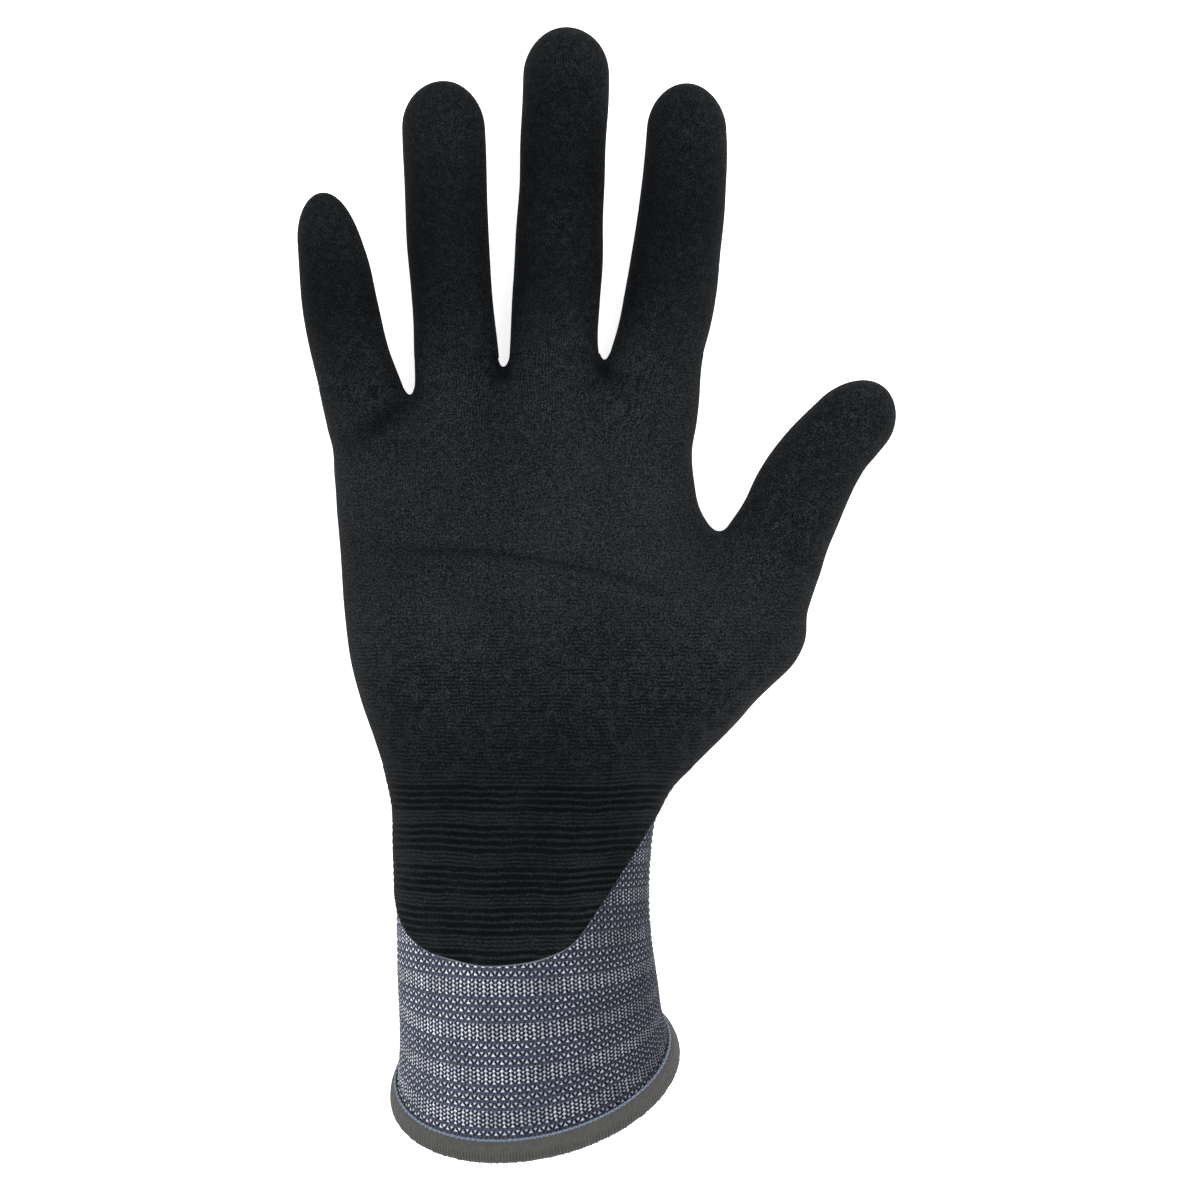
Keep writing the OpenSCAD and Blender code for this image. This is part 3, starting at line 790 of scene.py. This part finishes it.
def palm_painted_shade(x, y):
    """Painted shade on the palm's foam: darker towards the wrist, the finger roots and the little
    finger's side, in the crease and at the webs.
    """
    painted_shade = 1.0 - 0.12 * ease((y - 44) / 12) - 0.42 * ease((-y - 16) / 26) - 0.1 * ease((-x - 35) / 25)
    painted_shade -= 0.4 * crease_ends(x) * np.exp(-((y - crease_y(x)) / 1.0) ** 2)
    for cx, cy, rx, ry, turn, deep in WEB_HOLLOWS:
        painted_shade -= 0.42 * deep * blob(x, y, cx, cy, rx, ry, turn)
    return painted_shade


def build_palm():
    """The palm's liner, cut off at the wrist and at each stall, and the dip over its front."""
    points, faces = field_mesh(hand_field, (-76, -44, -3), (62, 64, 46), 0.75)
    points = relax(points, faces, 3)
    x, y, z = points.T
    along, across = thumb_frame(x, y)
    away = [np.abs(f["xc"](y) - x) for f in STALLS.values()]
    roots = np.array([f["splits"][0] for f in STALLS.values()])
    keep = np.minimum(y - WRIST_Y, roots[np.argmin(away, axis=0)] - y)
    keep = np.where(across > -13, np.minimum(keep, THUMB_SPLIT - along), keep)
    normals = vertex_normals(points, faces)
    uv = np.stack([palm_columns(x, y, z), (WRIST_Y - y) / COURSE], axis=1)
    points, faces, g, (normals, uv) = cut(points, faces, keep, (normals, uv))
    points, faces, (normals, uv) = pack_mesh(points, faces, [normals, uv])
    knit = shell("palm_liner_knit", points, faces, normals, 0.0, -LINER, uv, PALM_TURNS)
    knit.data.materials.append(liner_material)
    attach(knit, "palm")
    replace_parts(knit, "palm_liner")
    covered = points[:, 2] - dip_line(points[:, 0], points[:, 1])
    p, q, g, (n2, uv2) = cut(points, faces, covered, (normals, uv))
    x, y = p[:, 0], p[:, 1]
    # Besides the knit's lines and ripples, the fields carry the palm's painted shade.
    fields = {"wales": 0.1 + 0.5 * ease((y - 20) / 30), "ripples": 0.2 + 0.8 * ease((8 - y) / 34),
              "painted_shade": palm_painted_shade(x, y)}
    skin = dip_shell("palm_dip_skin", p, q, n2, g, uv2, PALM_TURNS, fields)
    skin.data.materials.append(dip_material)
    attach(skin, "palm")
    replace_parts(skin, "palm_dip")


build_palm()


# ---------------------------------------------------------------- the wrist and cuff
HEM_Y = -111.4
HEM_DROP = 15.0
# How far the front drops below the middle, and the thumb side rises above it, against a row's Y.
DROP = curve([(HEM_Y, HEM_DROP), (-100, HEM_DROP * 0.62), (-86, HEM_DROP * 0.22),
              (-74, HEM_DROP * 0.03), (-66, 0), (-40, 0)])
SKEW = curve([(HEM_Y, 5.0), (-95, 2.4), (-80, 0.5), (-66, 0), (-40, 0)])
CUFF_TURNS = 88
CUFF_SPLIT = -71.0


def oval_table(y, turns_at):
    """X and Z of a section's liner at shares of its way round, from 0 at the front to a half."""
    a = (RIGHT(y) - LEFT(y)) / 2 - COAT
    b = BODY_D(y) - COAT
    n = BODY_N(y)
    t = np.linspace(0, math.pi, 361)
    px = a * np.abs(np.sin(t)) ** (2 / n)
    pz = b * np.sign(np.cos(t)) * np.abs(np.cos(t)) ** (2 / n)
    length = np.concatenate([[0], np.cumsum(np.hypot(np.diff(px), np.diff(pz)))])
    share = np.abs(turns_at) * 2 * length[-1]
    return np.sign(turns_at) * np.interp(share, length, px), np.interp(share, length, pz)


def cuff_grid(ys, shares):
    """The liner's outer surface over the wrist and cuff: rows down it and columns round it."""
    x = np.empty((len(ys), len(shares)))
    z = np.empty_like(x)
    for i, y in enumerate(ys):
        x[i], z[i] = oval_table(y, shares)
    a = ((RIGHT(ys) - LEFT(ys)) / 2)[:, None]
    b = BODY_D(ys)[:, None]
    yy = ys[:, None] - DROP(ys)[:, None] * z / b + SKEW(ys)[:, None] * x / a
    # The back clears the floor.
    zz = np.maximum(z + BODY_Z(ys)[:, None], 0.15)
    return np.stack([x + ((RIGHT(ys) + LEFT(ys)) / 2)[:, None], yy, zz], axis=-1)


DIP_REACH = curve([(-0.5, -58), (-0.42, -60), (-0.33, -64), (-0.25, -69), (-0.21, -75), (-0.16, -79.7),
                   (-0.09, -81.8), (-0.03, -82.2), (0.03, -81.2), (0.075, -78.2), (0.12, -71),
                   (0.17, -61.5), (0.215, -53), (0.25, -49.5), (0.33, -47), (0.42, -50), (0.5, -58)])


def dip_reach(share):
    """The dip's lower edge, as a row's Y, at a share of the way round (positive to the thumb)."""
    return DIP_REACH(share) + 0.15 * np.sin(share * 47 + 1)


# The wrist's and the cuff's knit: a fine outside with raised stitches, and a plain inside with a
# quarter of the columns and every sixth row.
PER_WALE = 4
IN_STEP = 4
IN_ROWS = 6
KNIT_THICK = 1.9


def knit_rows(top, bottom):
    """Rows of Y from top to bottom, with one on every strip's edge and some between."""
    fine_y = np.linspace(top, bottom, 4001)
    strips = strips_at(fine_y - DROP(fine_y))
    marks = [strips[0]]
    for k in range(math.floor(strips[0]), math.ceil(strips[-1])):
        parts = 2 if on_line(k + 0.5) else 4
        marks += [k + i / parts for i in range(parts + 1)]
    marks = np.unique(np.round(np.clip(marks + [strips[-1]], strips[0], strips[-1]), 6))
    return np.interp(marks, strips, fine_y), marks


def facing_out(faces, normals, at):
    """The faces and normals, turned over if those at the given front point look inwards."""
    if normals[at, 2] < 0:
        return faces[:, ::-1], -normals
    return faces, normals


def rim_faces(cols, outer_row, inner_row, n, rows_up):
    """One rim of the knit: each face of the inside's edge with the four of the outside's."""
    in_cols = cols // IN_STEP
    rim = []
    for j in range(in_cols):
        i_a = n + inner_row * in_cols + j
        i_b = n + inner_row * in_cols + (j + 1) % in_cols
        for k in range(IN_STEP):
            a = outer_row * cols + j * IN_STEP + k
            b = outer_row * cols + (j * IN_STEP + k + 1) % cols
            rim.append([a, b, i_b, i_a] if k == IN_STEP - 1 else [a, b, i_a, i_a])
    rim = np.array(rim)
    # It turns the same way as the side it closes.
    if tuple(rim[0, :2].tolist()) in rows_up:
        quads = rim[:, 2] != rim[:, 3]
        rim = np.where(quads[:, None], rim[:, [1, 0, 3, 2]], rim[:, [1, 0, 2, 2]])
    return rim


def knit_tube(name, top, bottom):
    """A length of the ribbed knit, closed all round, with its two ends open."""
    cols = CUFF_TURNS * PER_WALE
    shares = (np.arange(cols) - cols / 2) / cols
    ys, strips = knit_rows(top, bottom)
    points = cuff_grid(ys, shares).reshape(-1, 3)
    rows = len(ys)
    faces = grid_faces(rows, cols, True)
    faces, normals = facing_out(faces, vertex_normals(points, faces), cols // 2)
    fade = np.repeat(ease((WRIST_Y - 1.0 - ys) / 4), cols)
    c = np.repeat(strips, cols)
    part = c - np.floor(c)
    line = on_line(np.round(c, 4) + 1e-3) * (part > 0.01)
    swell = np.sin(math.pi * np.clip(part, 0, 1)) ** 0.7
    wale = np.tile(np.array([1.0, -0.7, 0.55, -0.7])[np.arange(cols) % PER_WALE], rows)
    relief = np.where(line > 0, -0.06, 0.14 * swell - 0.04 + 0.1 * wale * swell) * fade
    soft = wrinkle(points, 31, 26) * 0.22 * fade
    uv = np.stack([np.tile(shares, rows) * CUFF_TURNS, c], axis=1)
    outer = points + normals * (relief + soft)[:, None]
    pick_rows = np.unique(np.concatenate([np.arange(0, rows, IN_ROWS), [rows - 1]]))
    pick = (pick_rows[:, None] * cols + np.arange(0, cols, IN_STEP)[None]).ravel()
    inner = points[pick] + normals[pick] * (soft[pick] - KNIT_THICK)[:, None]
    in_faces = grid_faces(len(pick_rows), cols // IN_STEP, True)
    if np.array_equal(faces[0], grid_faces(2, cols, True)[0]):
        in_faces = in_faces[:, ::-1]
    n = len(outer)
    rows_up = {tuple(e) for e in rim_edges(faces).tolist()}
    rims = [rim_faces(cols, 0, 0, n, rows_up),
            rim_faces(cols, rows - 1, len(pick_rows) - 1, n, rows_up)]
    all_faces = np.concatenate([faces, in_faces + n] + rims)
    all_uv = np.concatenate([uv, uv[pick]])
    all_normals = np.concatenate([vertex_normals(outer, faces), -normals[pick]])
    # Painted shade: the thumb side is darker.
    painted_shade = 0.73 - 0.4 * np.sin(2 * math.pi * all_uv[:, 0] / CUFF_TURNS)
    o = make_object(name, np.concatenate([outer, inner]), all_faces,
                    corner_uv(all_faces, all_uv, CUFF_TURNS), all_normals, {"painted_shade": painted_shade})
    o.data.materials.append(cuff_material)
    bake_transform(o)
    return o


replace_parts(knit_tube("wrist_knit", WRIST_Y, CUFF_SPLIT), "wrist_liner")
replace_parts(knit_tube("cuff_knit", CUFF_SPLIT, HEM_Y), "cuff_liner")


SKIN_COLS = 240
SKIN_ROWS = 200


def build_wrist_dip():
    """The dip over the wrist, ribbed by the knit under it, down to its curved edge."""
    shares = (np.arange(SKIN_COLS + 1) / SKIN_COLS - 0.5) * 0.9999
    ys = np.linspace(WRIST_Y, -86.5, SKIN_ROWS)
    points = cuff_grid(ys, shares).reshape(-1, 3)
    rows, cols = len(ys), len(shares)
    faces = grid_faces(rows, cols, False)[:, ::-1]
    faces, normals = facing_out(faces, vertex_normals(points, faces), cols // 2)
    share = np.tile(shares, rows)
    y = np.repeat(ys, cols)
    waver = 0.3 * wrinkle(points, 14, 16) + 0.12 * wrinkle(points, 15, 5)
    strips = strips_at(y - DROP(y) + waver)
    ribbed = on_line(strips)
    fade = ease((WRIST_Y - 0.5 - y) / 4)
    covered = np.minimum(y - dip_reach(share), points[:, 2] - dip_line(points[:, 0], points[:, 1]))
    uv = np.stack([share * CUFF_TURNS, strips], axis=1)
    wave = wrinkle(points, 12, 11) * 0.6 + wrinkle(points, 13, 4) * 0.3 + 0.6
    wave = np.clip(wave, 0, 1)
    across = np.sin(math.pi * (strips - np.floor(strips)))
    relief = np.where(ribbed > 0, -0.36 * across * (0.25 + 0.75 * wave), 0.14 * across)
    relief = relief * fade * (1 - 0.7 * ease((np.abs(share) - 0.17) / 0.07))
    soft = wrinkle(points, 31, 26) * 0.22 * fade
    rib = ribbed * fade * (0.35 + 0.65 * wave)
    extras = (normals, uv, relief, soft, rib)
    p, q, g, (n2, uv2, relief, soft, rib) = cut(points, faces, covered, extras)
    thick = ease(g / 0.8)
    outer = -0.05 + 0.36 * ease(g / 0.12) + (COAT - 0.2) * thick + relief * thick + soft
    # The wrist's dip carries painted shade: darker near the palm, lighter from the middle of the wrist
    # down.
    fields = {"margin": np.clip(g, 0, 1), "rib": rib, "rows": np.ones(len(p)),
              "painted_shade": 0.58 + 0.2 * ease((-p[:, 1] - 55) / 20)}
    skin = shell("wrist_dip_skin", p, q, n2, outer, soft - SKIN_SINK, uv2, 10 * CUFF_TURNS, fields)
    skin.data.materials.append(dip_material)
    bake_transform(skin)
    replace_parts(skin, "wrist_dip", "cuff_dip")


build_wrist_dip()

# The overlocked hem: a padded band of close cross threads round the cuff's end. Its section is
# given by places down and out from that end.
HEM_RIBS = 250
RIB_COLS = 4
SECTION = [(-3.1, 0.05), (-3.3, 0.4), (-2.9, 0.85), (-2.1, 1.2), (-1.0, 1.4), (0.0, 1.4), (0.8, 1.2),
           (1.35, 0.7), (1.6, 0.0), (1.45, -0.9), (0.9, -1.7), (0.0, -2.2), (-1.0, -2.4),
           (-2.0, -2.45), (-2.6, -2.2), (-2.6, -1.85)]


def cuff_end(shares):
    """The line round the cuff's end, with the directions down from it and out of it."""
    line, above = cuff_grid(np.array([HEM_Y, HEM_Y + 0.4]), shares)
    down = line - above
    down /= np.linalg.norm(down, axis=1, keepdims=True)
    out = np.cross(np.roll(line, -1, axis=0) - np.roll(line, 1, axis=0), down)
    out /= np.linalg.norm(out, axis=1, keepdims=True)
    if ((line - line.mean(axis=0)) * out).sum() < 0:
        out = -out
    return line, down, out


def build_hem():
    cols = HEM_RIBS * RIB_COLS
    shares = (np.arange(cols) - cols / 2) / cols
    line, down, out = cuff_end(shares)
    rib_id = np.arange(cols) // RIB_COLS
    lengths = rng.uniform(0.1, 0.32, HEM_RIBS)[rib_id]
    puff = rng.uniform(-0.03, 0.03, HEM_RIBS)[rib_id]
    rib = np.array([0.0, 0.7, 1.0, 0.7])[np.arange(cols) % RIB_COLS]
    rings = []
    for d, o in SECTION:
        low = ease((d + 0.2) / 1.8)
        outer = np.clip(o / 1.5, 0, 1) if o > 0 else 0.5
        below = d + lengths * low * (0.35 + 0.65 * rib)
        away = o + ((0.06 + 0.14 * low) * rib + puff) * outer
        rings.append(line + down * below[:, None] + out * away[:, None])
    rows = len(rings)
    points = np.concatenate(rings)
    # The back clears the floor.
    points[:, 2] = np.maximum(points[:, 2], 0.1)
    j = np.arange(cols)
    k = (j + 1) % cols
    last = (rows - 1) * cols
    closing = np.stack([last + j, last + k, k, j], axis=1)
    faces = np.concatenate([grid_faces(rows, cols, True), closing])
    normals = vertex_normals(points, faces)
    if ((points - line.mean(axis=0)) * normals)[: cols * 6].sum() < 0:
        faces = faces[:, ::-1]
    uv = np.stack([np.tile(shares, rows) * HEM_RIBS, np.repeat(np.arange(rows), cols) * 0.5], axis=1)
    low_edge = np.repeat([ease((d + 1.6) / 2.4) for d, _ in SECTION], cols)
    hem = make_object("hem_band", points, faces, corner_uv(faces, uv, HEM_RIBS), None,
                      {"low_edge": low_edge})
    hem.data.materials.append(hem_material)
    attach(hem, "cuff")
    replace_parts(hem, "hem_overlock")


def build_thread():
    """The looper thread along the hem's upper edge: a yarn that sways with the cross threads."""
    n = HEM_RIBS * 5
    t = np.arange(n) / n
    line, down, out = cuff_end(t - 0.5)
    phase = t * HEM_RIBS * 2 * math.pi
    line = line + down * (-3.35 + 0.14 * np.sin(phase))[:, None]
    line = line + out * (0.42 + 0.1 * np.cos(phase * 0.5))[:, None]
    radius, sides = 0.3, 8
    along = np.roll(line, -1, axis=0) - np.roll(line, 1, axis=0)
    along /= np.linalg.norm(along, axis=1, keepdims=True)
    side = np.cross(along, line - line.mean(axis=0))
    side /= np.linalg.norm(side, axis=1, keepdims=True)
    up = np.cross(side, along)
    a = np.linspace(0, 2 * math.pi, sides + 1)[:-1]
    ring = np.cos(a)[None, :, None] * side[:, None] + np.sin(a)[None, :, None] * up[:, None]
    points = (line[:, None] + radius * ring).reshape(-1, 3)
    i = np.arange(n)[:, None] * sides
    i_next = np.roll(i, -1, axis=0)
    j = np.arange(sides)
    k = (j + 1) % sides
    faces = np.stack([i + j, i + k, i_next + k, i_next + j], axis=-1).reshape(-1, 4)
    normals = vertex_normals(points, faces)
    if ((points - np.repeat(line, sides, axis=0)) * normals).sum() < 0:
        faces = faces[:, ::-1]
    uv = np.stack([np.repeat(np.arange(n) * 0.35, sides), np.tile(a / TURN, n)], axis=1)
    thread = make_object("hem_looper_thread", points, faces, corner_uv(faces, uv, 1e9))
    thread.data.materials.append(thread_material)
    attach(thread, "cuff")
    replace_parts(thread, "hem_thread")


build_hem()
build_thread()

elastic = frame["nodes"]["elastic_yarn"]
elastic.data.materials.clear()
elastic.data.materials.append(elastic_material)


# ---------------------------------------------------------------- what the materials look like
def srgb(r, g, b):
    """A display colour, 0 to 255, as linear values."""
    c = np.array([r, g, b]) / 255
    return (*np.where(c <= 0.04045, c / 12.92, ((c + 0.055) / 1.055) ** 2.4), 1.0)


def knit_look(mat, ribbed, light, bump):
    """A heather knit: in each cell an upright light stitch, a smaller one hanging between it and the
    next, and dark strokes of painted shadow leaning between them. Dark elastic lines cross a ribbed
    one."""
    n = Nodes(mat)
    u, v = n.knit()
    u = n.plus(u, n.scaled(n.noise(700, 2), 0.34, -0.17))
    v_wavy = n.plus(v, n.scaled(n.noise(500, 1), 0.16, -0.08))
    r = n.math("FRACT", n.plus(v_wavy, 1100.0))
    # 1 in the middle of an upright stitch, 0 half way to the next.
    tri = n.math("ABSOLUTE", n.scaled(n.math("FRACT", u), 2.0, -1.0))
    lean = n.minus(r, n.scaled(tri, -0.5, 0.74))
    stroke = n.range(n.math("ABSOLUTE", lean), 0.34, 0.12)
    between = n.math("ABSOLUTE", n.minus(tri, 0.48))
    stroke = n.times(stroke, n.range(between, 0.52, 0.32, 0.3, 1.0))
    # An upright stitch widens downwards, a hanging one upwards. In close rows the uprights chain
    # into columns.
    m = n.math("MODULO", n.plus(v, 110.0), float(STRIPS))
    close = n.times(n.math("GREATER_THAN", m, float(LINED_STRIPS)), 0.7 if ribbed else 0.0)
    wide = n.blend(close, n.scaled(r, 0.46, 0.14), n.scaled(r, 0.2, 0.32))
    upright = n.range(n.math("DIVIDE", n.minus(1.0, tri), wide), 1.0, 0.45)
    upright = n.times(upright, n.math("MAXIMUM", n.range(r, 0.0, 0.34), close))
    upright = n.times(upright, n.math("MAXIMUM", n.range(r, 1.0, 0.9, 0.4, 1.0), close))
    narrow = n.math("MAXIMUM", n.scaled(r, -0.48, 0.5), 0.05)
    hanging = n.range(n.math("DIVIDE", tri, narrow), 1.0, 0.4)
    hanging = n.times(hanging, n.range(r, 0.85, 0.5))
    # Each stitch has its own lightness, and so has each patch of the knit.
    cell = n.new("ShaderNodeCombineXYZ")
    n.put(cell.inputs[0], n.math("FLOOR", n.scaled(u, 2.0, 0.5)))
    n.put(cell.inputs[1], n.math("FLOOR", v))
    white = n.new("ShaderNodeTexWhiteNoise", noise_dimensions="2D")
    n.put(white.inputs["Vector"], cell.outputs[0])
    each = n.scaled(white.outputs["Value"], 0.26, 0.36)
    each = n.plus(each, n.range(n.noise(110, 3), 0.3, 0.7, 0.0, 0.3))
    shine = n.plus(upright, n.times(hanging, 0.7), clamp=True)
    face = n.mix(n.times(shine, each, clamp=True), MIDDLE_YARN, light)
    # The dark strokes between the stitches are painted shadow.
    colour = n.mix(stroke, face, STITCH_SHADOW)
    height = n.plus(n.times(shine, 0.6), n.scaled(stroke, -0.4, 0.4))
    if ribbed:
        even = n.math("LESS_THAN", n.math("FRACT", n.times(m, 0.5)), 0.5)
        lined = n.times(even, n.math("LESS_THAN", m, float(LINED_STRIPS)))
        weave = n.scaled(n.math("SINE", n.times(u, 2 * TURN)), 0.3, n.noise(900, 2))
        colour = n.mix(lined, colour, n.mix(weave, srgb(20, 23, 34), srgb(66, 71, 89)))
        height = n.blend(lined, height, n.times(weave, 0.35))
    fuzz = n.noise(2600, 2)
    colour = n.mix(n.range(fuzz, 0.4, 0.8, 0.0, 0.05), colour, light)
    # Painted shade from the mesh darkens the ribbed knit's thumb side.
    if ribbed:
        colour = n.mix(n.attribute("painted_shade"), srgb(0, 3, 11), colour)
    normal = n.bump(height, bump, 0.8, n.bump(fuzz, 0.0001, 0.4))
    n.finish(colour, normal, rough=0.88, specular=0.08, sheen=0.02, sheen_rough=0.5)


# The painted shadow between the stitches, and the yarn's middle colour.
STITCH_SHADOW = srgb(9, 11, 20)
MIDDLE_YARN = srgb(26, 30, 45)
knit_look(cuff_material, True, srgb(230, 235, 250), 0.0004)
knit_look(liner_material, False, srgb(196, 200, 214), 0.0003)


def foam_look(mat):
    """Foam nitrile: black, matt, with a fine grain of open cells, and the knit's lines faint under
    it. Its rows show as lines of painted shade over the wrist and as ripples over the lower palm."""
    n = Nodes(mat)
    u, v = n.knit()
    wales, ripples, ribs, rows, painted_shade, margin = [
        n.attribute(key) for key in ("wales", "ripples", "rib", "rows", "painted_shade", "margin")]
    wale_line = n.wave(n.plus(u, n.scaled(n.noise(300, 2), 0.3, -0.15)), 2)
    wale_line = n.times(n.times(wale_line, n.range(n.noise(600, 2), 0.3, 0.62)), wales)
    ripple = n.scaled(n.noise(240, 2), 9.0, n.times(v, TURN))
    ripple = n.scaled(n.math("COSINE", ripple), 0.5, 0.5)
    ripple = n.times(ripple, n.range(n.noise(420, 2), 0.36, 0.62))
    speck = n.blend(n.times(rows, 0.35), n.range(n.noise(3000, 3, 0.7), 0.36, 0.7), 0.45)
    cells = n.noise(4200, 1)
    row_line = n.times(n.times(n.wave(v), rows), n.minus(1.0, ribs))
    row_depth = n.range(n.noise(160, 3), 0.3, 0.7, 0.16, 0.5)
    clouds = n.times(n.range(n.noise(420, 3, 0.6), 0.3, 0.7), 0.06)
    shade = n.plus(n.scaled(speck, 0.95, -0.16), clouds)
    shade = n.plus(shade, n.range(n.noise(28, 2), 0.3, 0.7, 0.0, 0.14))
    shade = n.minus(shade, n.times(wale_line, 0.62))
    shade = n.minus(shade, n.times(n.times(ripple, ripples), 0.5))
    # Painted shade over the wrist: along the edges of the rows, leaving their crests lighter, and in
    # the sunken rib grooves.
    shade = n.minus(shade, n.times(row_line, row_depth))
    shade = n.minus(shade, n.times(n.times(ribs, n.wave(u, 2, 0.5)), 1.1))
    fleck = n.times(n.range(cells, 0.64, 0.8), 0.35)
    shade = n.plus(n.math("MAXIMUM", shade, 0.0), fleck, clamp=True)
    # Painted shade from the mesh darkens the foam towards near black.
    colour = n.mix(painted_shade, srgb(2, 4, 7), n.mix(shade, srgb(7, 9, 11), srgb(53, 56, 58)))
    colour = n.mix(n.range(margin, 0.42, 0.12), colour, srgb(104, 108, 118))
    height = n.minus(n.times(speck, 0.8), n.times(wale_line, 0.6))
    height = n.plus(height, n.times(n.times(n.minus(1.0, ripple), ripples), 0.8))
    height = n.minus(height, n.times(row_line, 0.6))
    normal = n.bump(height, 0.00022, 0.75, n.bump(cells, 0.0001, 0.5))
    n.finish(colour, normal, rough=0.82, specular=0.04)


def overlock_look(mat):
    """The overlock's yarn: close cross threads, darker where they part at the lower edge."""
    n = Nodes(mat)
    u, v = n.knit()
    across = n.wave(n.plus(u, n.scaled(n.noise(700, 2), 0.5, -0.25)))
    slit = n.times(n.math("POWER", across, 2.5), n.blend(n.attribute("low_edge"), 0.08, 0.85))
    slit = n.times(slit, n.range(n.noise(260, 1), 0.3, 0.6, 0.45, 1.0), clamp=True)
    fibre = n.noise(1400, 3)
    colour = n.mix(slit, n.mix(fibre, srgb(48, 48, 47), srgb(76, 75, 72)), srgb(30, 30, 31))
    normal = n.bump(n.minus(fibre, n.times(across, 0.8)), 0.0002, 0.7)
    n.finish(colour, normal, rough=0.85, specular=0.2, sheen=0.06)


def thread_look(mat):
    """A twisted yarn."""
    n = Nodes(mat)
    u, v = n.knit()
    ply = n.scaled(n.math("SINE", n.times(n.plus(n.times(u, 0.9), v), TURN)), 0.5, 0.5)
    fibre = n.noise(1800, 3)
    light = n.math("MULTIPLY_ADD", ply, 0.6, n.times(fibre, 0.4), clamp=True)
    colour = n.mix(light, srgb(62, 70, 82), srgb(118, 128, 142))
    n.finish(colour, n.bump(n.plus(ply, fibre), 0.00015, 0.6), rough=0.8, specular=0.25)


def elastic_look(mat):
    """Covered elastic. It carries no knit coordinates, so its twist comes from noise."""
    n = Nodes(mat)
    twist = n.noise(1600, 3)
    colour = n.mix(twist, srgb(38, 40, 46), srgb(92, 94, 102))
    n.finish(colour, n.bump(twist, 0.0002, 0.6), rough=0.7)


foam_look(dip_material)
overlock_look(hem_material)
thread_look(thread_material)
elastic_look(elastic_material)

# ---------------------------------------------------------------- the floor
floor_mesh = bpy.data.meshes.new("floor")
s = 3.0
floor_mesh.from_pydata([(-s, -s, 0), (s, -s, 0), (s, s, 0), (-s, s, 0)], [], [(0, 1, 2, 3)])
floor = bpy.data.objects.new("floor", floor_mesh)
bpy.context.scene.collection.objects.link(floor)
floor.location.z = -0.0005
floor_material = material("floor")
# It glows a little, so that it stays white in the narrow gaps between the fingers.
for key, value in (("Base Color", (0.95, 0.95, 0.95, 1)), ("Roughness", 0.9),
                   ("Emission Color", (1, 1, 1, 1)), ("Emission Strength", 0.7)):
    floor_material.node_tree.nodes["Principled BSDF"].inputs[key].default_value = value
floor.data.materials.append(floor_material)
